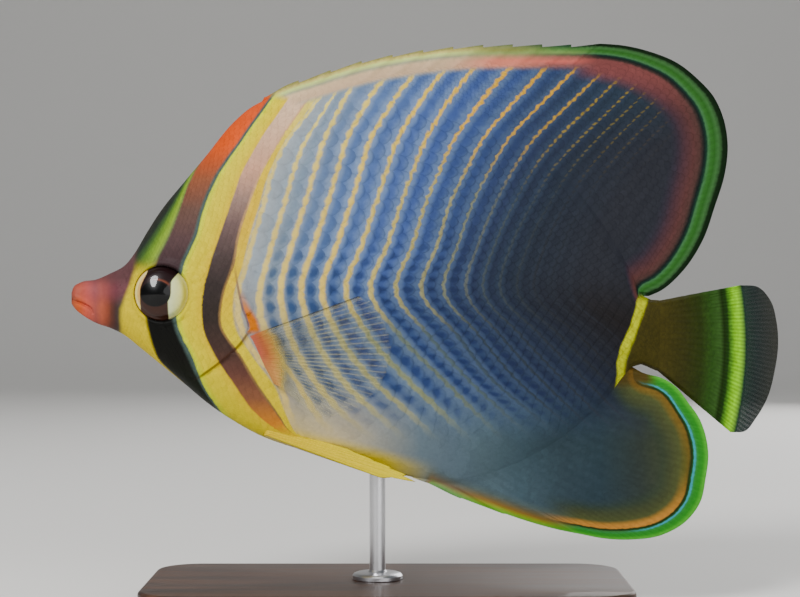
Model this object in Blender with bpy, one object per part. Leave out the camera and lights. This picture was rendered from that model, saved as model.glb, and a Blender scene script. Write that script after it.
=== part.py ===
"""A triangular butterflyfish as a life-size still model on a plain display stand.

The fish swims with its head towards -X, its back towards +Z and its left side towards -Y.
Sizes are in millimetres. Heights on the fish are measured from the lowest point of its
anal fin, and LIFT then raises the whole fish above the floor at height zero.
"""

import math

import bmesh
import bpy
import numpy as np

MM = 0.001
GAP = 0.3
FIN_ROOT_GAP = 0.42
NEAR = np.array([0.0, -1.0, 0.0])

# How the fish is held
LIFT = 14.0
BASE_SIZE = (96.0, 46.0)
BASE_CENTRE_X = -8.0
BASE_THICK = 6.0
BASE_CORNER = 9.0
BASE_BEVEL = 0.8
ROD_X = -10.0
ROD_RADIUS = 1.6
ROD_IN_BELLY = 8.0
ROD_FOOT_RADIUS = 5.0
ROD_FOOT_THICK = 1.4

# How finely the fish is modelled
BODY_STATIONS = 44
BODY_ACROSS = 21
FIN_ROWS = 7
FINEST = 0.01
SLIVER = 0.03

# Counts of spines and rays
DORSAL_SPINES = 12
DORSAL_RAYS = 25
ANAL_RAYS = 21
TAIL_RAYS = 17
PECTORAL_RAYS = 14

# Thickness of the fins, each value half of the real one, and how it thins towards the free edge
FIN_EDGE = 0.27
FIN_THINS = 1.3
RAY_RELIEF = 0.13
SPINE_RELIEF = 0.3
BACK_FIN_ROOT = 1.55
TAIL_FIN_ROOT = 1.25
SPINY_ROOT_SLOPE = 0.12

# The eyes
EYE_CENTRE = (-52.9, 49.0)
EYE_RADIUS = 5.7
EYE_DEPTH = 3.0
EYE_OUT = 4.9

# The gill covers and the mouth
GILL_RAISE = 0.45
GILL_INNER = 3.8
NOSTRILS = ((-61.2, 50.9), (-59.3, 51.9))
NOSTRIL_RADIUS = 0.42
NOSTRIL_DEPTH = 1.2

# How far the soft parts lean out of the fish's middle plane
TAIL_BEND_FROM = 38.0
TAIL_BEND_OVER = 10.0
TAIL_BEND_SLOPE = 0.18
ANAL_LEAN = -1.1
ANAL_LEAN_FROM = 10.0
DORSAL_LEAN = 0.9
DORSAL_LEAN_FROM = 14.0
LEAN_OUT_OVER = 14.0
LEAN_ALONG_OVER = 25.0

# How deep the free edge of a spiny fin drops behind each spine, and the most of the fin's height
DORSAL_NOTCH = 1.0
ANAL_NOTCH = 0.9
DEEPEST_NOTCH = 0.3
SPINE_TIP_SPREAD = 0.92

# How a pectoral fin leaves the flank, and how thick its fleshy root is
PECTORAL_SUNK = 1.4
PECTORAL_STEP = 2.7
PECTORAL_STEP_OVER = 0.16
PECTORAL_FLARE = 2.4
PECTORAL_ROOT_HALF = 0.55
PELVIC_ROOT_HALF = 0.45

COLOURS = {
    "skin_blue": ((0.20, 0.24, 0.42), 0.45),
    "skin_yellow": ((0.92, 0.80, 0.12), 0.45),
    "fin_maroon": ((0.34, 0.12, 0.12), 0.5),
    "fin_olive": ((0.26, 0.24, 0.06), 0.5),
    "fin_clear": ((0.55, 0.56, 0.42), 0.4),
    "snout": ((0.68, 0.24, 0.14), 0.4),
    "eye": ((0.02, 0.02, 0.03), 0.08),
    "stand_wood": ((0.09, 0.06, 0.045), 0.5),
    "stand_steel": ((0.62, 0.62, 0.64), 0.3),
}
METALS = ("stand_steel",)


class Path:
    """A smooth curve through a few points, read by the share of its length."""

    FINE = 24

    def __init__(self, *points):
        knots = np.array(points, float)
        reach = np.concatenate([[0.0], np.cumsum(np.linalg.norm(np.diff(knots, axis=0), axis=1))])
        slope = np.gradient(knots, reach, axis=0)
        where = np.linspace(0, reach[-1], self.FINE * (len(knots) - 1) + 1)
        left = np.clip(np.searchsorted(reach, where, side="right") - 1, 0, len(knots) - 2)
        width = (reach[left + 1] - reach[left])[:, None]
        t = (where - reach[left])[:, None] / width
        self.line = (
            (2 * t**3 - 3 * t**2 + 1) * knots[left]
            + (t**3 - 2 * t**2 + t) * width * slope[left]
            + (3 * t**2 - 2 * t**3) * knots[left + 1]
            + (t**3 - t**2) * width * slope[left + 1]
        )
        run = np.concatenate([[0.0], np.cumsum(np.linalg.norm(np.diff(self.line, axis=0), axis=1))])
        self.share = run / run[-1]

    def at(self, share):
        """Points at these shares of the length."""
        share = np.asarray(share, float)
        return np.stack([np.interp(share, self.share, axis) for axis in self.line.T], axis=-1)

    def share_at(self, x):
        """The share of the length at which a curve that runs towards +X passes x."""
        return np.interp(x, self.line[:, 0], self.share)

    def read(self, x):
        """The second number of the curve where its first one is x."""
        return np.interp(x, self.line[:, 0], self.line[:, 1])


class Eased:
    """A number that changes with x in soft steps between its (x, value) pairs, with no overshoot."""

    def __init__(self, *pairs):
        self.x, self.value = np.array(pairs, float).T

    def read(self, x):
        """The value at x."""
        left = np.clip(np.searchsorted(self.x, x, side="right") - 1, 0, len(self.x) - 2)
        t = (x - self.x[left]) / (self.x[left + 1] - self.x[left])
        return self.value[left] + (self.value[left + 1] - self.value[left]) * smooth_step(t)


def smooth_step(t):
    """A soft change from 0 to 1."""
    t = np.clip(t, 0.0, 1.0)
    return t * t * (3 - 2 * t)


# The outline of the flesh, seen from the left: first the back, then the belly
BACK = Path(
    (-71.2, 49.2), (-70.7, 50.5), (-69.2, 51.4), (-66.3, 51.9), (-63.5, 53.1), (-60.5, 54.7),
    (-58.5, 57.2), (-56.2, 61.1), (-53.4, 65.5), (-48.4, 71.7), (-44.3, 76.6), (-38.6, 83.5),
    (-35.3, 86.3), (-32.4, 87.8), (-26.0, 89.5), (-16.0, 90.2), (-4.0, 89.0), (8.0, 85.2),
    (20.0, 78.4), (30.0, 69.2), (37.0, 59.8), (41.0, 52.4), (43.2, 48.2), (46.5, 47.7),
)  # fmt: skip
BELLY = Path(
    (-71.2, 47.1), (-70.6, 46.2), (-68.6, 44.5), (-66.3, 43.2), (-63.2, 42.1), (-60.6, 40.8),
    (-57.6, 38.4), (-51.6, 33.5), (-47.7, 30.3), (-44.5, 27.6), (-38.4, 23.4), (-33.2, 20.6),
    (-28.0, 18.7), (-21.6, 17.0), (-12.0, 14.9), (-3.0, 12.4), (2.0, 11.7), (8.0, 12.2),
    (16.0, 14.6), (24.0, 18.6), (31.0, 23.8), (36.5, 29.2), (39.5, 33.2), (41.5, 34.9), (46.1, 33.6),
)  # fmt: skip

# Half of the body's width along its length, and half of the width left at its edges for the fins
HALF_WIDTH = Path(
    (-71.2, 1.0), (-70.6, 1.8), (-69.4, 2.2), (-67.8, 2.15), (-66.0, 2.45), (-63.5, 3.3), (-60.0, 4.7),
    (-56.0, 6.0), (-52.0, 7.0), (-46.0, 8.2), (-40.0, 9.0), (-32.0, 9.6), (-22.0, 9.6), (-10.0, 9.1),
    (2.0, 8.2), (14.0, 7.0), (26.0, 5.3), (34.0, 4.0), (40.0, 3.0), (44.0, 2.4), (46.5, 1.9),
)  # fmt: skip
BACK_EDGE = Eased((-71.2, 0.1), (-36.0, 0.1), (-10.0, 1.5), (20.0, 1.55), (46.5, 1.25))
BELLY_EDGE = Eased((-71.2, 0.1), (-4.0, 0.1), (12.0, 1.4), (46.5, 1.25))

# How the width falls off towards the edges: 0.5 is round, 1 is a blade that runs into its fin
BACK_FALL = Eased((-71.2, 0.5), (-44.0, 0.55), (-26.0, 0.85), (-5.0, 1.0), (36.0, 0.9), (46.5, 0.7))
BELLY_FALL = Eased((-71.2, 0.5), (-12.0, 0.55), (8.0, 0.95), (36.0, 0.9), (46.5, 0.7))

# Where fins are rooted along the back and the belly, as places on the length
DORSAL_FROM, DORSAL_SPLIT, DORSAL_TO = -33.2, 13.5, 42.6
ANAL_FROM, ANAL_SPLIT, ANAL_TO = 1.0, 9.5, 40.2

# The free edges of the fins
DORSAL_SPINE_EDGE = Path(
    (-32.6, 88.4), (-28.8, 90.7), (-24.8, 92.0), (-19.6, 93.7), (-13.5, 95.5), (-5.5, 97.1),
    (2.5, 98.2), (10.1, 98.8), (19.7, 99.0), (29.3, 99.0), (34.6, 99.2),
)  # fmt: skip
DORSAL_RAY_EDGE = Path(
    (35.2, 99.2), (38.8, 98.9), (44.6, 97.6), (50.3, 95.2), (54.2, 92.1), (57.3, 88.7), (59.5, 83.7),
    (60.2, 79.1), (59.6, 73.0), (57.6, 66.5), (55.3, 60.0), (50.9, 53.3), (46.4, 49.5), (44.3, 48.6),
)  # fmt: skip
ANAL_SPINE_EDGE = Path((0.6, 10.9), (4.5, 9.0), (13.9, 5.5), (19.8, 3.5), (26.5, 1.8), (30.2, 1.15))
ANAL_RAY_EDGE = Path(
    (30.8, 1.0), (35.5, 0.2), (40.0, 0.0), (46.9, 1.0), (51.8, 3.9), (54.3, 7.3), (55.5, 12.4),
    (56.0, 16.9), (55.5, 20.6), (54.3, 24.0), (51.8, 27.6), (49.4, 30.6), (46.6, 32.3), (43.4, 33.0),
)  # fmt: skip
ANAL_SPINE_TIPS = (0.12, 0.45, 1.0)
TAIL_ROOT = Path((46.9, 47.4), (47.5, 40.6), (46.5, 33.8))
TAIL_EDGE = Path(
    (63.2, 50.8), (67.0, 50.4), (69.6, 47.6), (70.8, 43.5), (71.2, 39.0), (70.4, 33.3), (68.9, 28.0),
    (66.5, 23.9), (64.2, 21.3), (61.2, 21.1),
)  # fmt: skip
PECTORAL_ROOT = Path((-33.2, 40.4), (-32.4, 36.0), (-30.2, 31.6))
PECTORAL_EDGE = Path(
    (-13.5, 48.6), (-10.6, 47.2), (-8.2, 43.0), (-7.2, 38.2), (-8.8, 32.2), (-12.6, 27.6), (-17.6, 25.2),
    (-22.0, 24.8),
)  # fmt: skip

# The left pelvic fin, folded back along the belly: its spine, then its five rays
PELVIC_ROOT = ((-32.2, -3.8, 21.0), (-31.6, -3.2, 22.8))
PELVIC_TIPS = (
    (-9.5, -6.3, 12.9), (-2.4, -6.1, 12.0), (-4.4, -5.6, 13.4), (-7.6, -5.0, 14.9), (-11.5, -4.4, 16.5),
    (-16.0, -3.8, 18.4),
)  # fmt: skip

# Where the fish is parted, seen from the left
GILL_EDGE = Path(
    (-38.7, 56.6), (-37.7, 51.5), (-36.0, 46.5), (-34.3, 41.8), (-36.6, 39.2), (-41.6, 35.2),
    (-45.5, 32.4),
)  # fmt: skip
CHEEK_EDGE = Path((-46.3, 33.6), (-46.6, 39.0), (-46.0, 45.5), (-44.6, 51.5), (-41.8, 56.2))
NAPE_LINE = ((-36.0, 96.0), (-35.2, 84.0), (-36.6, 72.0), (-38.4, 62.0))
THROAT_LINE = ((-47.6, 31.0), (-50.5, 27.0), (-56.0, 18.0))
FRONT_CORNERS = ((-90.0, 18.0), (-90.0, 96.0))
MOUTH = ((-73.0, 48.1), (-70.0, 47.3), (-67.2, 46.2), (-65.9, 44.4), (-65.4, 40.0), (-73.0, 40.0))
TAIL_REGION = ((43.4, 56.0), (42.3, 46.4), (40.2, 41.5), (38.9, 35.6), (38.0, 26.0), (80.0, 26.0), (80.0, 56.0))


def tail_bend(x):
    """How far the tail has turned away from the middle plane at x."""
    over = np.maximum(x - TAIL_BEND_FROM, 0.0)
    curved = np.minimum(over, TAIL_BEND_OVER)
    return TAIL_BEND_SLOPE * (curved**2 / (2 * TAIL_BEND_OVER) + (over - curved))


def body_sections(stations, across, grow=0.0):
    """Points on the middle plane (x, z) and the half width there, for stations and for shares across."""
    top, bottom = BACK.at(stations), BELLY.at(stations)
    up = (top - bottom) / np.linalg.norm(top - bottom, axis=1)[:, None]
    top, bottom = top + grow * up, bottom - grow * up
    spot = (bottom[:, None] + (top - bottom)[:, None] * ((across + 1) / 2)[None, :, None])
    widest = HALF_WIDTH.read((top[:, 0] + bottom[:, 0]) / 2)[:, None]
    above = across[None, :] > 0
    edge = np.where(above, BACK_EDGE.read(top[:, 0])[:, None], BELLY_EDGE.read(bottom[:, 0])[:, None])
    fall = np.where(above, BACK_FALL.read(top[:, 0])[:, None], BELLY_FALL.read(bottom[:, 0])[:, None])
    half = edge + (widest - edge) * np.maximum(1 - across[None, :] ** 2, 0) ** fall + grow
    return spot[..., 0], spot[..., 1], half


def material(name):
    """The named finish, made once."""
    found = bpy.data.materials.get(name)
    if found:
        return found
    made = bpy.data.materials.new(name)
    made.use_nodes = True
    shader = made.node_tree.nodes["Principled BSDF"]
    colour, roughness = COLOURS[name]
    shader.inputs["Base Color"].default_value = (*colour, 1.0)
    shader.inputs["Roughness"].default_value = roughness
    shader.inputs["Metallic"].default_value = float(name in METALS)
    made.diffuse_color = (*colour, 1.0)
    return made


def new_object(name, points, faces, finish):
    """A closed mesh object from points in millimetres, with its faces turned outwards."""
    mesh = bpy.data.meshes.new(name)
    mesh.from_pydata([tuple(p) for p in np.asarray(points, float) * MM], [], [tuple(f) for f in faces])
    shape = bmesh.new()
    shape.from_mesh(mesh)
    bmesh.ops.remove_doubles(shape, verts=shape.verts, dist=FINEST * MM)
    bmesh.ops.recalc_face_normals(shape, faces=shape.faces)
    if shape.calc_volume(signed=True) < 0:
        bmesh.ops.reverse_faces(shape, faces=shape.faces)
    shape.to_mesh(mesh)
    shape.free()
    mesh.materials.append(material(finish))
    made = bpy.data.objects.new(name, mesh)
    bpy.context.scene.collection.objects.link(made)
    return made


def plate(name, middle, out, half, finish):
    """A closed plate: a grid of middle points, the direction out of its near face, and its half thickness."""
    rows, columns = middle.shape[:2]
    offset = out * half[..., None]
    points = np.concatenate([(middle + offset).reshape(-1, 3), (middle - offset).reshape(-1, 3)])
    far = rows * columns
    index = np.arange(far).reshape(rows, columns)
    a, b = index[:-1, :-1].ravel(), index[1:, :-1].ravel()
    c, d = index[1:, 1:].ravel(), index[:-1, 1:].ravel()
    faces = [*zip(a, b, c), *zip(a, c, d), *zip(a + far, c + far, b + far), *zip(a + far, d + far, c + far)]
    rim = [*index[:, 0], *index[-1, 1:], *index[-2::-1, -1], *index[0, -2:0:-1]]
    for here, after in zip(rim, rim[1:] + rim[:1]):
        faces += [(here, here + far, after + far), (here, after + far, after)]
    return new_object(name, points, faces, finish)


def stack(name, rings, finish):
    """A closed solid through rings of equally many points, from the first ring to the last."""
    count = len(rings[0])
    points = np.concatenate(rings)
    faces = []
    for level in range(len(rings) - 1):
        low, high = level * count, (level + 1) * count
        for i in range(count):
            j = (i + 1) % count
            faces += [(low + i, low + j, high + j), (low + i, high + j, high + i)]
    last = (len(rings) - 1) * count
    faces += [tuple(range(count)), tuple(range(last, last + count))]
    return new_object(name, points, faces, finish)


def prism(name, outline, near, far, finish="skin_blue"):
    """A solid with this outline seen from the left, from depth near to depth far."""
    outline = np.asarray(outline, float)
    rings = [np.insert(raised(outline), 1, depth, axis=1) for depth in (near, far)]
    return stack(name, rings, finish)


def raised(outline):
    """An outline of (x, height) pairs lifted to its place above the floor."""
    return outline + np.array([0.0, LIFT])


def widened(outline, distance):
    """A closed outline moved outwards by this distance."""
    outline = np.asarray(outline, float)
    ahead = np.roll(outline, -1, axis=0) - outline
    ahead /= np.linalg.norm(ahead, axis=1)[:, None]
    out = np.stack([ahead[:, 1], -ahead[:, 0]], axis=1)
    x, z = outline.T
    if np.dot(x, np.roll(z, -1)) - np.dot(z, np.roll(x, -1)) < 0:
        out = -out
    before = np.roll(out, 1, axis=0)
    corner = out + before
    corner /= 1 + np.sum(out * before, axis=1)[:, None]
    return outline + distance * corner


def evaluated_mesh(thing):
    """The object's mesh with its modifiers applied."""
    return bpy.data.meshes.new_from_object(thing.evaluated_get(bpy.context.evaluated_depsgraph_get()))


def combine(target, tools, operation="DIFFERENCE"):
    """Cuts or joins the tools with the target in one Boolean, and removes them."""
    group = bpy.data.collections.new("tools")
    bpy.context.scene.collection.children.link(group)
    for tool in tools:
        group.objects.link(tool)
    boolean = target.modifiers.new("combine", "BOOLEAN")
    boolean.operation = operation
    boolean.solver = "EXACT"
    boolean.operand_type = "COLLECTION"
    boolean.collection = group
    mesh = evaluated_mesh(target)
    target.modifiers.clear()
    target.data = mesh
    for tool in tools:
        bpy.data.objects.remove(tool)
    bpy.data.collections.remove(group)
    keep_largest(target)
    merge_slivers(target)
    return target


def merge_slivers(thing):
    """Merges points that a cut left almost in one place, so that no face is a sliver."""
    shape = bmesh.new()
    shape.from_mesh(thing.data)
    bmesh.ops.remove_doubles(shape, verts=shape.verts, dist=SLIVER * MM)
    bmesh.ops.dissolve_degenerate(shape, edges=shape.edges, dist=SLIVER * MM)
    bmesh.ops.triangulate(shape, faces=shape.faces)
    shape.to_mesh(thing.data)
    shape.free()


def keep_largest(thing):
    """Leaves only the largest closed surface of the object, in triangles."""
    shape = bmesh.new()
    shape.from_mesh(thing.data)
    bmesh.ops.triangulate(shape, faces=shape.faces)
    groups, seen = [], set()
    for start in shape.faces:
        if start in seen:
            continue
        group, edge_of_search = [], [start]
        seen.add(start)
        while edge_of_search:
            face = edge_of_search.pop()
            group.append(face)
            for edge in face.edges:
                for beside in edge.link_faces:
                    if beside not in seen:
                        seen.add(beside)
                        edge_of_search.append(beside)
        groups.append(group)
    groups.sort(key=lambda group: sum(face.calc_area() for face in group), reverse=True)
    for group in groups[1:]:
        bmesh.ops.delete(shape, geom=group, context="FACES")
    shape.to_mesh(thing.data)
    shape.free()


def shade(thing, sharp_above=40.0):
    """Smooth shading, with the real edges left sharp."""
    thing.data.shade_smooth()
    thing.data.set_sharp_from_angle(angle=math.radians(sharp_above))


def place(x, z, y=None):
    """Grid points from places on the fish, at depth y, raised above the floor."""
    y = np.zeros_like(x) if y is None else y
    return np.stack([x, y, z + LIFT], axis=-1)


def body_loft(name, finish, grow=0.0):
    """The whole body without fins, from the lips to the root of the tail fin."""
    stations = np.linspace(0, 1, BODY_STATIONS) ** 1.2
    across = np.sin(np.linspace(-1, 1, BODY_ACROSS) * math.pi / 2)
    x, z, half = body_sections(stations, across, grow)
    return plate(name, place(x, z, tail_bend(x)), NEAR, half, finish)


def head_region():
    """The outline in front of the gill openings, from above the nape to below the throat."""
    return [*NAPE_LINE, *GILL_EDGE.at(np.linspace(0, 1, 11)), *THROAT_LINE, *FRONT_CORNERS]


def gill_region():
    """The outline of a gill cover: its rear edge, then back up along the cheek."""
    return [*GILL_EDGE.at(np.linspace(0.02, 0.98, 11)), *CHEEK_EDGE.at(np.linspace(0, 1, 7))]


def eye_ball(name, side, grow=0.0):
    """One flattened eyeball. The left eye has side -1."""
    around = np.linspace(0, 2 * math.pi, 25)[:-1]
    centre = np.array([EYE_CENTRE[0], side * EYE_OUT, EYE_CENTRE[1] + LIFT])
    rings = []
    for slope in np.linspace(-1, 1, 11) * math.pi / 2:
        radius = (EYE_RADIUS + grow) * max(math.cos(slope), 0.05)
        depth = (EYE_DEPTH + grow) * math.sin(slope)
        ring = [(radius * math.cos(a), depth, radius * math.sin(a)) for a in around]
        rings.append(np.array(ring) + centre)
    return stack(name, rings, "eye")


def nostril_drills():
    """Short drills into the snout, two on each side."""
    drills = []
    for side in (-1, 1):
        for number, (x, z) in enumerate(NOSTRILS):
            turn = np.linspace(0, 2 * math.pi, 9)[:-1]
            outline = np.stack([x + NOSTRIL_RADIUS * np.cos(turn), z + NOSTRIL_RADIUS * np.sin(turn)], axis=1)
            skin = side * body_half_width(x, z)
            ends = sorted((skin - side * NOSTRIL_DEPTH, skin + side * NOSTRIL_DEPTH))
            drills.append(prism(f"nostril_{side}_{number}", outline, *ends))
    return drills


FINE_STATIONS = np.linspace(0, 1, 400)
FINE_ACROSS = np.sin(np.linspace(-1, 1, 161) * math.pi / 2)
FINE_X, FINE_Z, FINE_HALF = body_sections(FINE_STATIONS, FINE_ACROSS)


def body_half_width(x, z):
    """Half of the body's width at places on its side, read from the nearest point of a fine grid."""
    x, z = np.broadcast_arrays(np.asarray(x, float), np.asarray(z, float))
    flat = [
        FINE_HALF.flat[np.argmin((FINE_X - px) ** 2 + (FINE_Z - pz) ** 2)]
        for px, pz in zip(x.ravel(), z.ravel())
    ]
    return np.array(flat).reshape(x.shape)


def build_body():
    """The head, the gill covers, the lower jaw, the trunk and the tail's base, parted by thin cuts."""
    deep = 30.0
    head = combine(body_loft("head", "skin_yellow"), [prism("front", head_region(), -deep, deep)], "INTERSECT")
    jaw = combine(body_loft("lower_jaw", "snout"), [prism("mouth", MOUTH, -deep, deep)], "INTERSECT")
    for side, word in ((-1, "left"), (1, "right")):
        ends = sorted((side * GILL_INNER, side * deep))
        cover = body_loft(f"gill_cover_{word}", "skin_yellow", GILL_RAISE)
        combine(cover, [prism("gill", gill_region(), *ends)], "INTERSECT")
        shade(cover)
        pocket = sorted((side * (GILL_INNER - GAP), side * deep))
        combine(head, [prism("pocket", widened(gill_region(), GAP), *pocket)])
        combine(head, [eye_ball("socket", side, GAP)])
        shade(eye_ball(f"eye_{word}", side))
    combine(head, [prism("mouth_gap", widened(MOUTH, GAP), -deep, deep)])
    combine(head, nostril_drills())
    trunk = body_loft("trunk", "skin_blue")
    combine(trunk, [prism("front_gap", widened(head_region(), GAP), -deep, deep)])
    combine(trunk, [prism("tail_gap", widened(TAIL_REGION, GAP), -deep, deep)])
    combine(trunk, [rod_socket()])
    tail = body_loft("tail_base", "fin_olive")
    combine(tail, [prism("tail", TAIL_REGION, -deep, deep)], "INTERSECT")
    for piece in (head, jaw, trunk, tail):
        shade(piece)


def rod_socket():
    """The bore in the belly that takes the rod."""
    return turned("socket", ROD_X, [(ROD_RADIUS + GAP, BASE_THICK), (ROD_RADIUS + GAP, rod_top() + GAP)], "eye")


def rod_top():
    """The height of the rod's upper end above the floor."""
    return float(BELLY.read(ROD_X)) + LIFT + ROD_IN_BELLY


def turned(name, x, profile, finish, sides=24):
    """An upright turned piece: its profile is a list of (radius, height above the floor)."""
    turn = np.linspace(0, 2 * math.pi, sides + 1)[:-1]
    rings = [
        np.stack([x + radius * np.cos(turn), radius * np.sin(turn), np.full(sides, height)], axis=1)
        for radius, height in profile
    ]
    return stack(name, rings, finish)


def rows_out(count):
    """Shares from a fin's root to its free edge, closer together near the edge."""
    return np.linspace(0, 1, count) ** 0.8


def ridge(columns, period, width=1):
    """Which columns carry a ray: 1 on the ray, falling to 0 between the rays."""
    place_in = np.abs((np.arange(columns) + period / 2) % period - period / 2)
    return np.clip(1 - place_in / width, 0, 1)


def median_fin(name, root, edge, root_half, relief, finish, lean=0.0, lean_from=0.0):
    """A fin on the middle plane, from matching points on its root and on its free edge."""
    out = rows_out(FIN_ROWS)[None, :]
    spots = root[:, None] + (edge - root)[:, None] * out[..., None]
    x, z = spots[..., 0], spots[..., 1]
    half = FIN_EDGE + (root_half[:, None] - FIN_EDGE) * (1 - out) ** FIN_THINS
    half = half + relief[:, None] * np.sin(math.pi * np.clip(out + 0.25, 0, 1)) ** 0.5
    reach = np.linalg.norm(spots - root[:, None], axis=2)
    side = lean * smooth_step(reach / LEAN_OUT_OVER) * smooth_step((x - lean_from) / LEAN_ALONG_OVER)
    made = plate(name, place(x, z, side + tail_bend(x) * (finish == "fin_olive")), NEAR, half, finish)
    shade(made)
    return made


def rooted(line, start, end, columns, outward):
    """Points along the back or the belly from start to end, a gap away from the flesh."""
    shares = np.linspace(line.share_at(start), line.share_at(end), columns)
    spots = line.at(shares)
    along = np.gradient(spots, axis=0)
    along /= np.linalg.norm(along, axis=1)[:, None]
    away = np.stack([-along[:, 1], along[:, 0]], axis=1) * outward
    return spots + away * FIN_ROOT_GAP


def spiny_edge(root, path, tips, notch, columns_each):
    """A free edge that reaches out at each spine's tip and drops just behind it, and the fin's height."""
    shares = []
    for first, second in zip(tips, tips[1:]):
        shares += list(np.linspace(first, second, columns_each + 1)[:-1])
    shares = np.array([*shares, tips[-1]])
    edge = path.at(shares)
    behind = np.arange(len(shares)) % columns_each
    drop = np.where(behind == 0, 0.0, 1.0 - (behind - 1) / columns_each) * notch
    reach = np.linalg.norm(edge - root, axis=1)
    return edge + (root - edge) * (np.minimum(drop, DEEPEST_NOTCH * reach) / reach)[:, None], reach


def spiny_root(flesh_half, reach):
    """Half the thickness of a spiny fin at its root, thinner where the fin is low."""
    return np.maximum(np.minimum(flesh_half, FIN_EDGE + SPINY_ROOT_SLOPE * reach), FIN_EDGE)


def build_dorsal_fins():
    """The spiny and the soft dorsal fin."""
    each = 3
    columns = (DORSAL_SPINES - 1) * each + 1
    root = rooted(BACK, DORSAL_FROM, DORSAL_SPLIT - GAP, columns, 1)
    tips = np.linspace(0, 1, DORSAL_SPINES) ** SPINE_TIP_SPREAD
    edge, reach = spiny_edge(root, DORSAL_SPINE_EDGE, tips, DORSAL_NOTCH, each)
    median_fin("dorsal_fin_spiny", root, edge, spiny_root(BACK_EDGE.read(root[:, 0]), reach),
               SPINE_RELIEF * ridge(columns, each), "fin_maroon")  # fmt: skip
    columns = 2 * (DORSAL_RAYS - 1) + 1
    root = rooted(BACK, DORSAL_SPLIT + GAP, DORSAL_TO, columns, 1)
    edge = DORSAL_RAY_EDGE.at(np.linspace(0, 1, columns))
    median_fin("dorsal_fin_soft", root, edge, np.full(columns, BACK_FIN_ROOT),
               RAY_RELIEF * ridge(columns, 2), "fin_maroon", DORSAL_LEAN, DORSAL_LEAN_FROM)  # fmt: skip


def build_anal_fins():
    """The spiny and the soft anal fin."""
    each = 4
    tips = (0.0, *ANAL_SPINE_TIPS)
    columns = (len(tips) - 1) * each + 1
    root = rooted(BELLY, ANAL_FROM, ANAL_SPLIT - GAP, columns, -1)
    edge, reach = spiny_edge(root, ANAL_SPINE_EDGE, tips, ANAL_NOTCH, each)
    median_fin("anal_fin_spiny", root, edge, spiny_root(BELLY_EDGE.read(root[:, 0]), reach),
               SPINE_RELIEF * ridge(columns, each), "fin_olive")  # fmt: skip
    columns = 2 * (ANAL_RAYS - 1) + 1
    root = rooted(BELLY, ANAL_SPLIT + GAP, ANAL_TO, columns, -1)
    edge = ANAL_RAY_EDGE.at(np.linspace(0, 1, columns))
    median_fin("anal_fin_soft", root, edge, np.full(columns, BACK_FIN_ROOT),
               RAY_RELIEF * ridge(columns, 2), "fin_maroon", ANAL_LEAN, ANAL_LEAN_FROM)  # fmt: skip


def build_tail_fin():
    """The tail fin, which bends away from the left side with the tail's base."""
    columns = 2 * (TAIL_RAYS - 1) + 1
    shares = np.linspace(0, 1, columns)
    median_fin("tail_fin", TAIL_ROOT.at(shares), TAIL_EDGE.at(shares), np.full(columns, TAIL_FIN_ROOT),
               RAY_RELIEF * ridge(columns, 2), "fin_olive")  # fmt: skip


def surface_normals(points):
    """Unit normals of a grid of points."""
    normal = np.cross(np.gradient(points, axis=0), np.gradient(points, axis=1))
    return normal / np.linalg.norm(normal, axis=2)[..., None]


def build_pectoral_fin(word, side):
    """A fan of rays laid back along the flank. The left fin has side -1."""
    columns = 2 * (PECTORAL_RAYS - 1) + 1
    shares = np.linspace(0, 1, columns)
    root, edge = PECTORAL_ROOT.at(shares), PECTORAL_EDGE.at(shares)
    out = rows_out(FIN_ROWS + 1)[None, :]
    spots = root[:, None] + (edge - root)[:, None] * out[..., None]
    x, z = spots[..., 0], spots[..., 1]
    lift = PECTORAL_STEP * smooth_step(out / PECTORAL_STEP_OVER) + PECTORAL_FLARE * out - PECTORAL_SUNK
    points = place(x, z, side * (body_half_width(x, z) + lift))
    half = FIN_EDGE + PECTORAL_ROOT_HALF * (1 - out) ** 3 + RAY_RELIEF * ridge(columns, 2)[:, None] * (1 - 0.5 * out)
    fin = plate(f"pectoral_fin_{word}", points, surface_normals(points), half, "fin_clear")
    shade(combine(fin, [body_loft("flank", "fin_clear", GAP)]))


def build_pelvic_fin(word, side):
    """A narrow folded fin of one spine and five rays under the belly. The left fin has side -1."""
    each = 2
    columns = (len(PELVIC_TIPS) - 1) * each + 1
    shares = np.linspace(0, 1, columns)[:, None]
    mirror = np.array([1.0, -side, 1.0])
    start, end = (np.array(spot) * mirror for spot in PELVIC_ROOT)
    root = start + (end - start) * shares
    tips = np.array(PELVIC_TIPS) * mirror
    edge = np.stack([np.interp(shares[:, 0], np.linspace(0, 1, len(tips)), axis) for axis in tips.T], axis=1)
    out = np.linspace(0, 1, FIN_ROWS)[None, :, None]
    points = root[:, None] + (edge - root)[:, None] * out + np.array([0.0, 0.0, LIFT])
    taper = (1 - out[..., 0]) ** 1.2
    spine = np.where(np.arange(columns) == 0, SPINE_RELIEF, 0.0)
    relief = (RAY_RELIEF * ridge(columns, each) + spine)[:, None] * (0.4 + 0.6 * taper)
    half = FIN_EDGE + PELVIC_ROOT_HALF * taper + relief
    fin = plate(f"pelvic_fin_{word}", points, surface_normals(points), half, "skin_yellow")
    shade(combine(fin, [body_loft("belly", "fin_clear", GAP)]))


def rounded_rectangle(inset, height):
    """A ring of points round the base, moved in by inset, at this height."""
    length, width = BASE_SIZE[0] / 2 - inset, BASE_SIZE[1] / 2 - inset
    corner = BASE_CORNER - inset
    ring = []
    for quarter, (sx, sy) in enumerate(((1, 1), (-1, 1), (-1, -1), (1, -1))):
        for step in range(7):
            turn = (quarter + step / 6) * math.pi / 2
            ring.append((
                BASE_CENTRE_X + sx * (length - corner) + corner * math.cos(turn),
                sy * (width - corner) + corner * math.sin(turn),
                height,
            ))  # fmt: skip
    return np.array(ring)


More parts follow.
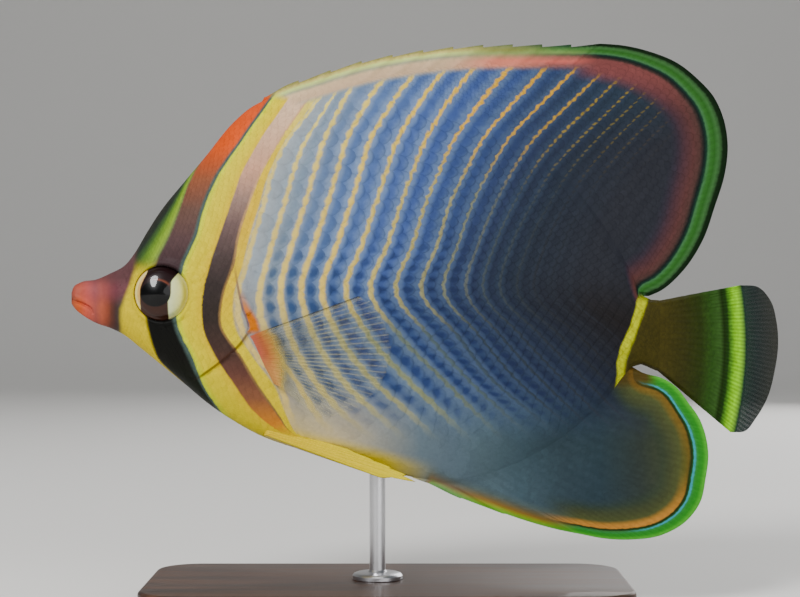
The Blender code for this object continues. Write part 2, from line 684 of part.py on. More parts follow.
def build_stand():
    """A flat wooden base and one steel rod that runs up into the belly."""
    levels = [(BASE_BEVEL / 2, 0.0), (0.0, BASE_BEVEL / 2), (0.0, BASE_THICK - BASE_BEVEL), (BASE_BEVEL, BASE_THICK)]
    base = stack("stand_base", [rounded_rectangle(*level) for level in levels], "stand_wood")
    foot = BASE_THICK + GAP
    profile = [
        (ROD_FOOT_RADIUS, foot),
        (ROD_FOOT_RADIUS, foot + 0.6 * ROD_FOOT_THICK),
        (0.8 * ROD_FOOT_RADIUS, foot + ROD_FOOT_THICK),
        (ROD_RADIUS, foot + ROD_FOOT_THICK),
        (ROD_RADIUS, rod_top()),
    ]
    shade(base)
    shade(turned("stand_rod", ROD_X, profile, "stand_steel"))


def main():
    """Clears the scene and builds every piece of the fish and its stand."""
    for thing in list(bpy.data.objects):
        bpy.data.objects.remove(thing)
    build_body()
    build_dorsal_fins()
    build_anal_fins()
    build_tail_fin()
    for word, side in (("left", -1), ("right", 1)):
        build_pectoral_fin(word, side)
        build_pelvic_fin(word, side)
    build_stand()


main()
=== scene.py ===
"""The looks of a still, life-size triangular butterflyfish on a plain display stand.

The fish swims with its head towards -X, its back towards +Z and its left side towards -Y.
Sizes are in millimetres until a mesh is made. Heights on the fish are measured from the lowest
point of its anal fin, and LIFT raises the whole fish above the floor. The markings follow
coordinates that are carried as attributes of the skin and its scales.
"""

import logging
import math
from collections.abc import Callable, Sequence
from dataclasses import dataclass, field
from enum import Enum

import bpy
import numpy as np
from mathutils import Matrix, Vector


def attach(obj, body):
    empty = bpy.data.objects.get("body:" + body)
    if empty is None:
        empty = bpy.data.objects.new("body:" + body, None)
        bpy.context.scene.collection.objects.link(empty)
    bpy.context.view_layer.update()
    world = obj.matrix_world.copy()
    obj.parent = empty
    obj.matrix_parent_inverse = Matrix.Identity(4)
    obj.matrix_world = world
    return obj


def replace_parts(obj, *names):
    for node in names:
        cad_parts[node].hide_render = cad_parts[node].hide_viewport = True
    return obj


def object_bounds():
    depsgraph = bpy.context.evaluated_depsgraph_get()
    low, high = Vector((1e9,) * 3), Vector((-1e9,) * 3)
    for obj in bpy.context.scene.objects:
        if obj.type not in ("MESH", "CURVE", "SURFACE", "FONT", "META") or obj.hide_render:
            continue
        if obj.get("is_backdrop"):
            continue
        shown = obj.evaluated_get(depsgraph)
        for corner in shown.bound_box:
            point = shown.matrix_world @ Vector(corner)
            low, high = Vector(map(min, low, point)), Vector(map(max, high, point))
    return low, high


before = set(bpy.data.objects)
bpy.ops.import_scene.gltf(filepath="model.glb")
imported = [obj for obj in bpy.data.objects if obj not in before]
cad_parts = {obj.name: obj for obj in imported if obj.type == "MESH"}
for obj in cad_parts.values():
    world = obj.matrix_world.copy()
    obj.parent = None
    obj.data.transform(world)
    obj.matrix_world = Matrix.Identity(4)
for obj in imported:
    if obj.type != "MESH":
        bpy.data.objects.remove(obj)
CAD_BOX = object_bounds()

log = logging.getLogger("butterflyfish")

Array = np.ndarray
Material = bpy.types.Material
Stop = tuple[float, int]
Spot = tuple[float, float]
Marks = dict[str, Array]

MM = 0.001
LIFT = 14.0
MERGE_DIGITS = 4
DISTANCE_BLOCK = 20000
BODY_NAME = "root"

# The distance to the fins' free edges where it plays no part, and what fades their margins out
FAR_FROM_FINS = 99.0
OFF_RIM = 12.0

# How brightly the studio lights the fish, and how scene light shows on the screen: every channel
# leans towards a weighed mean before and after the screen's tone curve
STUDIO_LIGHT = 1.5
SHEEN = 0.003
BRIGHTEST = 0.54
TONE_LIFT, TONE_POWER = 7.7, 3.9
LEAN_IN, LEAN_OUT = 0.27, 0.265
LEAN_WEIGHTS = (0.1, 0.37, 0.53)

# Where the markings were read from: the camera's place along the fish, its height and its distance
READ_X, READ_HIGH, READ_FROM = -5.5, 48.1, 377.8


class Side(Enum):
    """A side of the fish, as the sign of its depth."""

    LEFT = -1
    RIGHT = 1

    @property
    def word(self) -> str:
        """The side's name in the names of pieces."""
        return self.name.lower()


class Slot(Enum):
    """The material slots of the record, named when the pieces are built."""

    SKIN = "skin_blue"
    PELVIC = "skin_yellow"
    CLEAR = "fin_clear"
    EYE = "eye"
    WOOD = "stand_wood"
    STEEL = "stand_steel"


def smooth_step(t: Array | float) -> Array:
    """A soft change from 0 to 1."""
    t = np.clip(t, 0.0, 1.0)
    return t * t * (3 - 2 * t)


def bump(distance: Array, width: float) -> Array:
    """A soft hump: 1 at no distance, 0 from width on."""
    return 1 - smooth_step(np.abs(distance) / width)


def run_lengths(points: Array) -> Array:
    """The length of the way along points, up to each of them."""
    return np.concatenate([[0.0], np.cumsum(np.linalg.norm(np.diff(points, axis=0), axis=1))])


def grid_triangles(columns: int, rows: int, closed: bool = False) -> Array:
    """The triangles of a grid of points.

    Args:
        columns: Number of its columns.
        rows: Number of points in a column.
        closed: Whether a column's last point is joined to its first one.

    Returns:
        The numbers of the points at the triangles' corners.
    """
    index = np.arange(columns * rows).reshape(columns, rows)
    beside = np.roll(index, -1, axis=1)
    if not closed:
        index, beside = index[:, :-1], beside[:, :-1]
    a, b, c, d = (part.ravel() for part in (index[:-1], index[1:], beside[1:], beside[:-1]))
    return np.concatenate([np.stack([a, b, c], axis=1), np.stack([a, c, d], axis=1)])


class Path:
    """A smooth curve through a few points, read by the share of its length or by its first number."""

    FINE = 24

    def __init__(self, *points: Sequence[float]) -> None:
        """Draws the curve.

        Args:
            points: The points, as pairs.
        """
        knots = np.array(points, float)
        reach = run_lengths(knots)
        slope = np.gradient(knots, reach, axis=0)
        where = np.linspace(0, reach[-1], self.FINE * (len(knots) - 1) + 1)
        left = np.clip(np.searchsorted(reach, where, side="right") - 1, 0, len(knots) - 2)
        width = (reach[left + 1] - reach[left])[:, None]
        t = (where - reach[left])[:, None] / width
        self.line = (
            (2 * t**3 - 3 * t**2 + 1) * knots[left]
            + (t**3 - 2 * t**2 + t) * width * slope[left]
            + (3 * t**2 - 2 * t**3) * knots[left + 1]
            + (t**3 - t**2) * width * slope[left + 1]
        )
        run = run_lengths(self.line)
        self.length = run[-1]
        self.share = run / run[-1]

    def at(self, share: Array | float) -> Array:
        """Points at these shares of the length."""
        share = np.asarray(share, float)
        return np.stack([np.interp(share, self.share, axis) for axis in self.line.T], axis=-1)

    def share_at(self, x: float) -> float:
        """The share of the length at which a curve that runs towards +X passes x."""
        return float(np.interp(x, self.line[:, 0], self.share))

    def read(self, x: Array | float) -> Array:
        """The second number of the curve where its first one is x."""
        return np.interp(x, self.line[:, 0], self.line[:, 1])

    def distance(self, x: Array, z: Array) -> tuple[Array, Array]:
        """How far places lie from the curve.

        Args:
            x: Places along the fish.
            z: Heights on the fish.

        Returns:
            The distance, and the same with a sign that is positive to the left of the curve's run.
        """
        spots = np.stack([x.ravel(), z.ravel()], axis=1)
        ahead = np.gradient(self.line, axis=0)
        near, signed = np.empty(len(spots)), np.empty(len(spots))
        for start in range(0, len(spots), DISTANCE_BLOCK):
            block = slice(start, start + DISTANCE_BLOCK)
            dx = spots[block, 0, None] - self.line[None, :, 0]
            dz = spots[block, 1, None] - self.line[None, :, 1]
            square = dx * dx + dz * dz
            closest = square.argmin(axis=1)
            row = np.arange(len(closest))
            near[block] = np.sqrt(square[row, closest])
            turn = ahead[closest, 0] * dz[row, closest] - ahead[closest, 1] * dx[row, closest]
            signed[block] = near[block] * np.sign(turn)
        return near.reshape(x.shape), signed.reshape(x.shape)


class Eased:
    """A number that changes with x in soft steps between its (x, value) pairs, with no overshoot."""

    def __init__(self, *pairs: tuple[float, float]) -> None:
        """Takes the pairs in order."""
        self.x, self.value = np.array(pairs, float).T

    def read(self, x: Array | float) -> Array:
        """The value at x.

        Args:
            x: Where it is read.

        Returns:
            The values.
        """
        left = np.clip(np.searchsorted(self.x, x, side="right") - 1, 0, len(self.x) - 2)
        t = (x - self.x[left]) / (self.x[left + 1] - self.x[left])
        return self.value[left] + (self.value[left + 1] - self.value[left]) * smooth_step(t)


# The outline of the flesh, seen from the left: first the back, then the belly
BACK = Path(
    (-71.2, 49.2), (-70.7, 50.5), (-69.2, 51.4), (-66.3, 51.9), (-63.5, 53.1), (-60.5, 54.7),
    (-58.5, 57.2), (-56.2, 61.1), (-53.4, 65.5), (-48.4, 71.7), (-44.3, 76.6), (-38.6, 83.5),
    (-35.3, 86.3), (-32.4, 87.8), (-26, 89.5), (-16, 90.2), (-4, 89), (8, 85.2),
    (20, 78.4), (30, 69.2), (37, 59.8), (41, 52.4), (43.2, 48.2), (46.5, 47.7),
)
BELLY = Path(
    (-71.2, 47.1), (-70.6, 46.2), (-68.6, 44.5), (-66.3, 43.2), (-63.2, 42.1), (-60.6, 40.8),
    (-57.6, 38.4), (-51.6, 33.5), (-47.7, 30.3), (-44.5, 27.6), (-38.4, 23.4), (-33.2, 20.6),
    (-28, 18.7), (-21.6, 17), (-12, 14.9), (-3, 12.4), (2, 11.7), (8, 12.2),
    (16, 14.6), (24, 18.6), (31, 23.8), (36.5, 29.2), (39.5, 33.2), (41.5, 34.9), (46.1, 33.6),
)

# Half of the body's width along its length, at its middle and at its edges, and how it falls off
HALF_WIDTH = Path(
    (-71.2, 1), (-70.6, 1.8), (-69.4, 2.2), (-67.8, 2.15), (-66, 2.45), (-63.5, 3.3), (-60, 4.7),
    (-56, 6), (-52, 7), (-46, 8.2), (-40, 9), (-32, 9.6), (-22, 9.6), (-10, 9.1),
    (2, 8.2), (14, 7), (26, 5.3), (34, 4), (40, 3), (44, 2.1), (46.5, 1.4),
)
BACK_EDGE = Eased((-71.2, 0.1), (-36.0, 0.1), (-10.0, 1.5), (20.0, 1.55), (46.5, 1.15))
BELLY_EDGE = Eased((-71.2, 0.1), (-4.0, 0.1), (12.0, 1.4), (46.5, 1.15))
BACK_FALL = Eased((-71.2, 0.5), (-44.0, 0.55), (-26.0, 0.85), (-5.0, 1.0), (36.0, 0.9), (46.5, 0.7))
BELLY_FALL = Eased((-71.2, 0.5), (-12.0, 0.55), (8.0, 0.95), (36.0, 0.9), (46.5, 0.7))

# Where the fins are rooted, as places on the length, their free edges, and how rays reach these
DORSAL_FROM, DORSAL_TO = -33.2, 42.6
ANAL_FROM, ANAL_TO = -3.0, 40.8
DORSAL_SPINE_EDGE = Path(
    (-32.6, 88.4), (-28.8, 90.7), (-24.8, 92), (-19.6, 93.7), (-13.5, 95.5), (-5.5, 97.1),
    (2.5, 98.2), (10.1, 98.8), (19.7, 99), (29.3, 99), (34.6, 99.2),
)
DORSAL_RAY_EDGE = Path(
    (34.6, 99.2), (38.8, 98.9), (44.6, 97.6), (50.3, 95.2), (54.2, 92.1), (57.3, 88.7), (59.5, 83.7),
    (60.2, 79.1), (59.6, 73), (57.6, 66.5), (55.3, 60), (50.9, 53.3), (46.4, 49.5), (44.3, 48.6),
)
ANAL_SPINE_EDGE = Path(
    (-3.1, 12.3), (0.6, 10.9), (4.5, 9), (13.9, 5.5), (19.8, 3.5), (26.5, 1.8), (30.2, 1.15),
)
ANAL_RAY_EDGE = Path(
    (30.2, 1.15), (35.5, 0.2), (40, 0), (46.9, 1), (51.8, 3.9), (54.3, 7.3), (55.5, 12.4),
    (56, 16.9), (55.5, 20.6), (54.3, 24), (51.8, 27.6), (49.4, 30.6), (46.6, 32.3), (43.4, 33),
)
TAIL_EDGE = Path(
    (63.2, 50.8), (67, 50.4), (69.6, 47.6), (70.8, 43.5), (71.15, 39), (70.4, 33.3), (68.9, 28),
    (66.5, 23.9), (64.2, 21.3), (61.2, 21.1),
)
TAIL_RAYS = 17
ANAL_SPINE_TIPS = (0.0, 0.3, 0.55, 1.0)
SPINE_TIP_SPREAD = 0.92
DEEPEST_NOTCH = 0.3

# How the tail bends out of the middle plane, and over what lengths the soft fins lean out of it
TAIL_BEND_FROM, TAIL_BEND_OVER, TAIL_BEND_SLOPE = 38.0, 10.0, 0.18
LEAN_OUT_OVER, LEAN_ALONG_OVER = 14.0, 25.0

# The skin's fineness: spacing of its columns along the back, from the snout to the tail
COLUMN_SPACING = Eased(
    (0, 0.13), (14, 0.16), (22, 0.26), (58, 0.3), (100, 0.26), (112, 0.2), (160, 0.2),
)
BODY_ROWS = 140
SKIN_INSET = 0.16

# Where the head ends, and its forms
HEAD_END = -28.0
EYE_CENTRE = (-52.4, 49.1)
EYE_RADIUS = 5.7
GILL_EDGE = Path(
    (-38.4, 58.6), (-38, 55.6), (-37.3, 51.4), (-36.3, 46.5), (-35.1, 42), (-36.4, 39.7), (-39.4, 36.8),
    (-44.3, 33.1), (-49.6, 29.6),
)
CHEEK_EDGE = Path((-46.3, 33.6), (-46.6, 39.0), (-46.0, 45.5), (-44.6, 51.5), (-41.8, 56.2))
GILL_BARE, GILL_TOP = 1.1, 56.5
MOUTH_LINE = Path((-72.0, 48.0), (-70.0, 47.5), (-68.2, 46.8), (-67.0, 46.0), (-66.6, 45.2))
NOSTRILS = ((-61.2, 50.9), (-59.3, 51.9))


def as_seen(x: Array, z: Array, half: Array, back: bool = False) -> tuple[Array, Array]:
    """Where places on the fish's side appear on its middle plane from where the markings were read.

    Args:
        x: Places along the fish.
        z: Heights on the fish.
        half: How far the places lie in front of the middle plane.
        back: Whether to go back from the seen places to the real ones.

    Returns:
        The places along the fish and the heights.
    """
    grow = (1 + half / READ_FROM) ** (-1 if back else 1)
    return READ_X + (x - READ_X) * grow, READ_HIGH + (z - READ_HIGH) * grow


def tail_bend(x: Array) -> Array:
    """How far the tail has turned away from the middle plane at x.

    Args:
        x: Places along the fish.

    Returns:
        The distances.
    """
    over = np.maximum(x - TAIL_BEND_FROM, 0.0)
    curved = np.minimum(over, TAIL_BEND_OVER)
    return TAIL_BEND_SLOPE * (curved**2 / (2 * TAIL_BEND_OVER) + (over - curved))


@dataclass(frozen=True)
class HeadForms:
    """The forms that stand out of the plain head, in millimetres."""

    gill_step: float = 0.36
    gill_groove: float = 0.25
    cheek_ridge: float = 0.16
    cheek_groove: float = 0.14
    eye_rim: float = 0.4
    socket: float = 3.2
    mouth_cut: float = 0.55
    lip: float = 0.16
    nostril_rim: float = 0.14
    nostril_pit: float = 0.7

    def relief(self, x: Array, z: Array) -> Array:
        """The height of all forms at places on the fish.

        Args:
            x: Places along the fish.
            z: Heights on the fish.

        Returns:
            How far the forms stand out there.
        """
        relief = np.zeros_like(x)
        head = x < HEAD_END
        hx, hz = x[head], z[head]
        ahead = -GILL_EDGE.distance(hx, hz)[1]
        cheek, before_cheek = CHEEK_EDGE.distance(hx, hz)
        mouth = MOUTH_LINE.distance(hx, hz)[0]
        span = smooth_step((hz - 31.0) / 3.0) * (1 - smooth_step((hz - 46.0) / 7.0))
        cover = smooth_step(ahead / 0.45 + 0.5) * (1 - 0.75 * smooth_step(ahead / 9.0))
        made = self.gill_step * cover * span * (hx > -52.0) - self.gill_groove * bump(ahead + 0.7, 0.9) * span
        made += self.cheek_ridge * bump(cheek, 0.9)
        made -= self.cheek_groove * bump(before_cheek - 1.1, 1.0) * (cheek < 2.4)
        eye = np.hypot(hx - EYE_CENTRE[0], hz - EYE_CENTRE[1])
        made += self.eye_rim * bump(eye - EYE_RADIUS - 0.35, 0.9)
        made -= self.socket * (1 - smooth_step((eye - EYE_RADIUS + 0.7) / 0.6))
        made -= self.mouth_cut * bump(mouth, 0.42) * (1 - smooth_step((hx + 67.4) / 1.4))
        made += self.lip * bump(mouth - 0.8, 0.7) * (1 - smooth_step((hx + 68.5) / 1.5))
        for spot_x, spot_z in NOSTRILS:
            reach = np.hypot(hx - spot_x, hz - spot_z)
            made += self.nostril_rim * bump(reach - 0.65, 0.35)
            made -= self.nostril_pit * (1 - smooth_step(reach / 0.5))
        relief[head] = made
        return relief


# Heights at which the curves of the head's bands were read
BAND_HEIGHTS = (30.8, 36.8, 42.8, 48.8, 54.8, 60.8, 66.8, 72.8, 78.8, 84.8, 99.0)


def curves(heights: Sequence[float], *rows: Sequence[float]) -> tuple[Path, ...]:
    """Curves that pass the same heights, each from its row of places along the fish."""
    return tuple(Path(*zip(heights, row)) for row in rows)


class Markings:
    """Coordinates of the stripes and bands: curves drawn over the fish as (height, x) points."""

    LINE_STEP = 2
    APEX = 49.8
    LINES = curves(
        (0, 18.8, 24.8, *BAND_HEIGHTS),
        (-18, -25.3, -27.7, -29.5, -34.3, -37.5, -37.9, -36.3, -34.7, -32.8, -31.3, -28.7, -24.1, -14),
    ) + curves(
        (0, 19.8, 25.8, 31.8, 40.8, 49.8, 58.8, 67.8, 73.8, 79.8, 85.8, 99),
        (-2, -11, -17.9, -23.1, -27.7, -29.5, -27.3, -24.5, -22.7, -20.9, -18.1, -9),
        (13, 1.5, -4.5, -11.3, -18.1, -21.3, -18.3, -15.3, -13.5, -11.7, -8.1, 2),
        (28, 15, 9.1, 3.3, -5.7, -11.5, -8.1, -5.1, -2.9, -0.5, 2.9, 13),
        (42, 27, 20, 12.9, 5.9, -1.3, 1.9, 4.7, 7.7, 10.9, 15.9, 28),
        (52, 35.5, 28.9, 22.7, 14.5, 7.7, 10.1, 13.9, 17.1, 21.1, 27.1, 41),
        (61, 44, 37.5, 31.5, 22.5, 14.5, 16.7, 21.3, 24.9, 30.3, 36.5, 50),
        (69, 52, 45.5, 39.5, 30.1, 21.3, 23.5, 28.1, 32.1, 37.3, 43.5, 57),
    )
    BANDS = curves(
        (0, *BAND_HEIGHTS),
        (-30, -50, -57, -61.9, -61.7, -59.3, -55.3, -51.3, -47.9, -43.9, -39.1, -28),
        (-26, -48.5, -54.3, -56.1, -56.6, -54.5, -51.5, -49.3, -47, -42.9, -38.3, -27),
    ) + curves(
        (0, 18.8, 24.8, *BAND_HEIGHTS),
        (-22, -37, -41, -44.9, -47.3, -49.9, -50.1, -48.7, -46.1, -44.5, -41.7, -37.7, -33.5, -23),
    ) + curves(
        (0, 18.8, 21.8, 24.8, *BAND_HEIGHTS),
        (-16, -22, -29.9, -33.9, -38.5, -42.5, -44.9, -44.9, -43.5, -41.5, -39.3, -37.3, -34.1, -30.1, -20),
        (-14, -21, -27.7, -29.7, -33.9, -37.5, -41.3, -40.9, -38.7, -37.7, -35.7, -33.3, -29.9, -25.9, -16),
    ) + LINES[:1]
    HEEL = Path((18, 39.4), (28.8, 38.5), (34.8, 38.9), (41, 40.6), (47.2, 42.7), (56, 45))
    TAIL_BAND = Path((19, 59.7), (24, 60.9), (36, 62.5), (50, 61.7), (53, 61.2))
    PITCH = Eased((-1, 3.5), (4, 3.5), (7, 2.3), (12, 1.9), (30, 1.6))

    @staticmethod
    def _between(x: Array, edges: Sequence[Array], before: float, after: float) -> Array:
        """Which gap between curves a place lies in, with the share of that gap added.

        Args:
            x: Places along the fish.
            edges: Places of the curves at the same heights.
            before: Width of a gap before the first curve.
            after: Width of a gap behind the last curve.

        Returns:
            The gap's number with the share.
        """
        total = np.minimum((x - edges[0]) / before, 0.0)
        for near, far in zip(edges, edges[1:]):
            total = total + np.clip((x - near) / np.maximum(far - near, 0.2), 0.0, 1.0)
        return total + np.maximum((x - edges[-1]) / after, 0.0)

    @classmethod
    def line_lengths(cls, height: Array) -> list[Array]:
        """Lengths along the lines from their foremost points to these heights.

        Args:
            height: Heights on the fish.

        Returns:
            The lengths along each line.
        """
        fine = np.arange(0.0, 100.0, 0.5)
        lengths = []
        for line in cls.LINES:
            run = np.concatenate([[0.0], np.cumsum(np.hypot(0.5, np.diff(line.read(fine))))])
            lengths.append(np.interp(height, fine, run) - np.interp(cls.APEX, fine, run))
        return lengths

    @classmethod
    def at(cls, x: Array, height: Array) -> Marks:
        """All coordinates of the markings at places on the fish.

        Args:
            x: Places along the fish.
            height: Heights on the fish.

        Returns:
            The coordinates by their names.
        """
        lines = [line.read(height) for line in cls.LINES]
        stripe = cls.LINE_STEP * cls._between(x, lines, 9.0, 7.0)
        lengths = cls.line_lengths(height)
        share = np.clip(stripe / cls.LINE_STEP, 0, len(lengths) - 1)
        left = np.minimum(share.astype(int), len(lengths) - 2)
        stack = np.stack(lengths)
        picked = [np.take_along_axis(stack, (left + step)[None], axis=0)[0] for step in (0, 1)]
        run = picked[0] + (picked[1] - picked[0]) * (share - left)
        return {
            "stripe": stripe,
            "row": run / cls.PITCH.read(stripe),
            "band": cls._between(x, [band.read(height) for band in cls.BANDS], 4.0, 4.0),
            "heel": x - cls.HEEL.read(height),
            "veil": x - cls.TAIL_BAND.read(height),
            "fore": x,
            "high": height,
        }


@dataclass
class Patch:
    """One grid of the skin: places on its middle surface, half its thickness and its marks.

    Args:
        name: The patch's name.
        x: Places along the fish, by column and row.
        z: Heights on the fish.
        lean: How far the middle surface lies off the middle plane.
        half: Half of the thickness.
        chart: Two lengths over the surface that unwrap it.
        corner: Where the chart starts on the sheet of charts.
        marks: Values carried by every point.
        turned: Whether the grid runs the other way round, as below the belly.
    """

    name: str
    x: Array
    z: Array
    lean: Array
    half: Array
    chart: tuple[Array, Array]
    corner: Spot
    marks: Marks = field(default_factory=dict)
    turned: bool = False

    SHEET = 340.0
    BESIDE = 167.0

    def points(self, side: Side) -> Array:
        """The surface's points on one side of the fish."""
        return np.stack([self.x, self.lean + side.value * self.half, self.z + LIFT], axis=-1)

    def normals(self, side: Side) -> Array:
        """Unit normals that point out of one side of the fish.

        Args:
            side: The side of the fish.

        Returns:
            A normal for every point.
        """
        points = self.points(side)
        normal = np.cross(np.gradient(points, axis=0), np.gradient(points, axis=1))
        normal /= np.maximum(np.linalg.norm(normal, axis=2), 1e-9)[..., None]
        outward = np.sign(normal[..., 1:2]) * side.value
        return normal * np.where(outward == 0, 1.0, outward)

    def unwrapped(self, side: Side) -> Array:
        """Places of the points on the sheet of charts, from 0 to 1.

        Args:
            side: The side of the fish.

        Returns:
            A place for every point.
        """
        across = self.corner[0] + (self.BESIDE if side is Side.RIGHT else 0.0)
        u = (self.chart[0] - self.chart[0].min() + across) / self.SHEET
        v = (self.chart[1] - self.chart[1].min() + self.corner[1]) / self.SHEET
        return np.stack([u, v], axis=-1)

    def triangles(self, side: Side) -> Array:
        """The grid's triangles, turned outwards on this side."""
        faces = grid_triangles(*self.x.shape)
        return faces if (side is Side.LEFT) != self.turned else faces[:, ::-1]

    @staticmethod
    def sample(values: Array, i: Array, j: Array) -> Array:
        """Values between the grid's points, at these columns and rows.

        Args:
            values: Values by column and row.
            i: Columns, with shares.
            j: Rows, with shares.

        Returns:
            The values there.
        """
        columns, rows = values.shape[:2]
        i, j = np.clip(i, 0, columns - 1.001), np.clip(j, 0, rows - 1.001)
        left, low = i.astype(int), j.astype(int)
        s, t = i - left, j - low
        if values.ndim == 3:
            s, t = s[..., None], t[..., None]
        near = values[left, low] * (1 - t) + values[left, low + 1] * t
        far = values[left + 1, low] * (1 - t) + values[left + 1, low + 1] * t
        return near * (1 - s) + far * s


def surface_chart(x: Array, y: Array, z: Array) -> tuple[Array, Array]:
    """Lengths over a surface: along its middle row, and across each column from that row.

    Args:
        x: Places along the fish, by column and row.
        y: Their depths.
        z: Their heights.

    Returns:
        Both lengths.
    """
    points = np.stack([x, y, z], axis=-1)
    middle = x.shape[1] // 2
    along = run_lengths(points[:, middle])
    across = np.stack([run_lengths(column) for column in points])
    return np.repeat(along[:, None], x.shape[1], axis=1), across - across[:, middle : middle + 1]


class Body:
    """The flesh without fins: a loft between the back and the belly."""

    def __init__(self) -> None:
        """Lays out the stations and lofts the body."""
        run, stops = 0.0, [0.0]
        while run < BACK.length:
            run += float(COLUMN_SPACING.read(run))
            stops.append(run)
        self.stations = np.array(stops) / stops[-1]
        level = np.linspace(-1, 1, BODY_ROWS + 1)
        self.across = 0.55 * level + 0.45 * np.sin(level * math.pi / 2)
        self.top, self.bottom = BACK.at(self.stations), BELLY.at(self.stations)
        self.dorsal = self._columns(BACK, DORSAL_FROM, DORSAL_TO)
        self.anal = self._columns(BELLY, ANAL_FROM, ANAL_TO)
        self.patch = self._build()

    def _columns(self, line: Path, start: float, end: float) -> Array:
        """The columns that carry a fin from start to end.

        Args:
            line: The outline that carries the fin.
            start: Where the fin starts along the fish.
            end: Where it ends.

        Returns:
            The columns' numbers.
        """
        shares = [line.share_at(start), line.share_at(end)]
        first, last = np.searchsorted(self.stations, shares)
        return np.arange(first, last + 1)

    def _rooted(self, columns: Array) -> Array:
        """How much of the edge's width each station keeps: all under a fin, none elsewhere.

        Args:
            columns: The columns under the fin.

        Returns:
            A share for every station.
        """
        keep = np.zeros(len(self.stations))
        keep[columns] = smooth_step(np.minimum(columns - columns[0], columns[-1] - columns) / 5.0)
        return keep[:, None]

    def _build(self) -> Patch:
        """The loft as a patch of the skin.

        Returns:
            The patch.
        """
        v = self.across[None, :]
        spot = self.bottom[:, None] + (self.top - self.bottom)[:, None] * ((v + 1) / 2)[..., None]
        x, z = spot[..., 0], spot[..., 1]
        widest = HALF_WIDTH.read((self.top[:, 0] + self.bottom[:, 0]) / 2)[:, None]
        back, belly = BACK_EDGE.read(self.top[:, :1]), BELLY_EDGE.read(self.bottom[:, :1])
        rise = smooth_step((np.abs(v) - 0.9) / 0.1)
        edge = np.where(v > 0, back * (1 - rise + rise * self._rooted(self.dorsal)),
                        belly * (1 - rise + rise * self._rooted(self.anal)))
        fall = np.where(v > 0, BACK_FALL.read(self.top[:, :1]), BELLY_FALL.read(self.bottom[:, :1]))
        half = edge + (widest - edge) * np.maximum(1 - v**2, 0) ** fall
        inner = np.maximum(1 - v**2, 0) ** 0.5
        half = half - SKIN_INSET * np.minimum(half, inner)
        half = half + HeadForms().relief(x, z) * smooth_step(half / 1.2)
        lips = np.clip((x - self.top[0, 0] - 0.35 * bump(z - 48.0, 0.8)) / 1.1, 0.0, 1.0)
        half = np.maximum(half, 0.0) * np.sqrt(1 - (1 - lips) ** 2)
        half[:, [0, -1]] *= np.concatenate([self._rooted(self.anal), self._rooted(self.dorsal)], axis=1)
        half[0] = 0.0
        return Patch("body", x, z, tail_bend(x), half, surface_chart(x, half, z), (5.0, 5.0))

    def fall(self, last: int, before: int) -> Array:
        """How fast each station thins between two of its rows.

        Args:
            last: The row at the edge.
            before: A row nearer to the middle.

        Returns:
            The slope at every station.
        """
        patch = self.patch
        apart = np.hypot(patch.x[:, last] - patch.x[:, before], patch.z[:, last] - patch.z[:, before])
        return (patch.half[:, before] - patch.half[:, last]) / np.maximum(apart, 0.05)

    def grid_place(self, x: Array, z: Array) -> tuple[Array, Array]:
        """The column and the row of places on the body's side, by closing in on them.

        Args:
            x: Places along the fish.
            z: Heights on the fish.

        Returns:
            The columns and the rows, with shares.
        """
        station = np.clip((x - self.top[0, 0]) / (self.top[-1, 0] - self.top[0, 0]), 0, 1)
        v = np.zeros_like(station)
        slope_top, slope_bottom = (np.gradient(line[:, 0], self.stations) for line in (self.top, self.bottom))
        for _ in range(30):
            top = [np.interp(station, self.stations, axis) for axis in self.top.T]
            bottom = [np.interp(station, self.stations, axis) for axis in self.bottom.T]
            v = np.clip(2 * (z - bottom[1]) / np.maximum(top[1] - bottom[1], 0.1) - 1, -1.2, 1.2)
            share = (v + 1) / 2
            there = bottom[0] + (top[0] - bottom[0]) * share
            pace = np.interp(station, self.stations, slope_bottom) * (1 - share)
            pace = pace + np.interp(station, self.stations, slope_top) * share
            station = np.clip(station + 0.7 * (x - there) / np.maximum(pace, 20.0), 0, 1)
        column = np.interp(station, self.stations, np.arange(len(self.stations)))
        return column, np.interp(v, self.across, np.arange(len(self.across)), left=-1, right=-1)


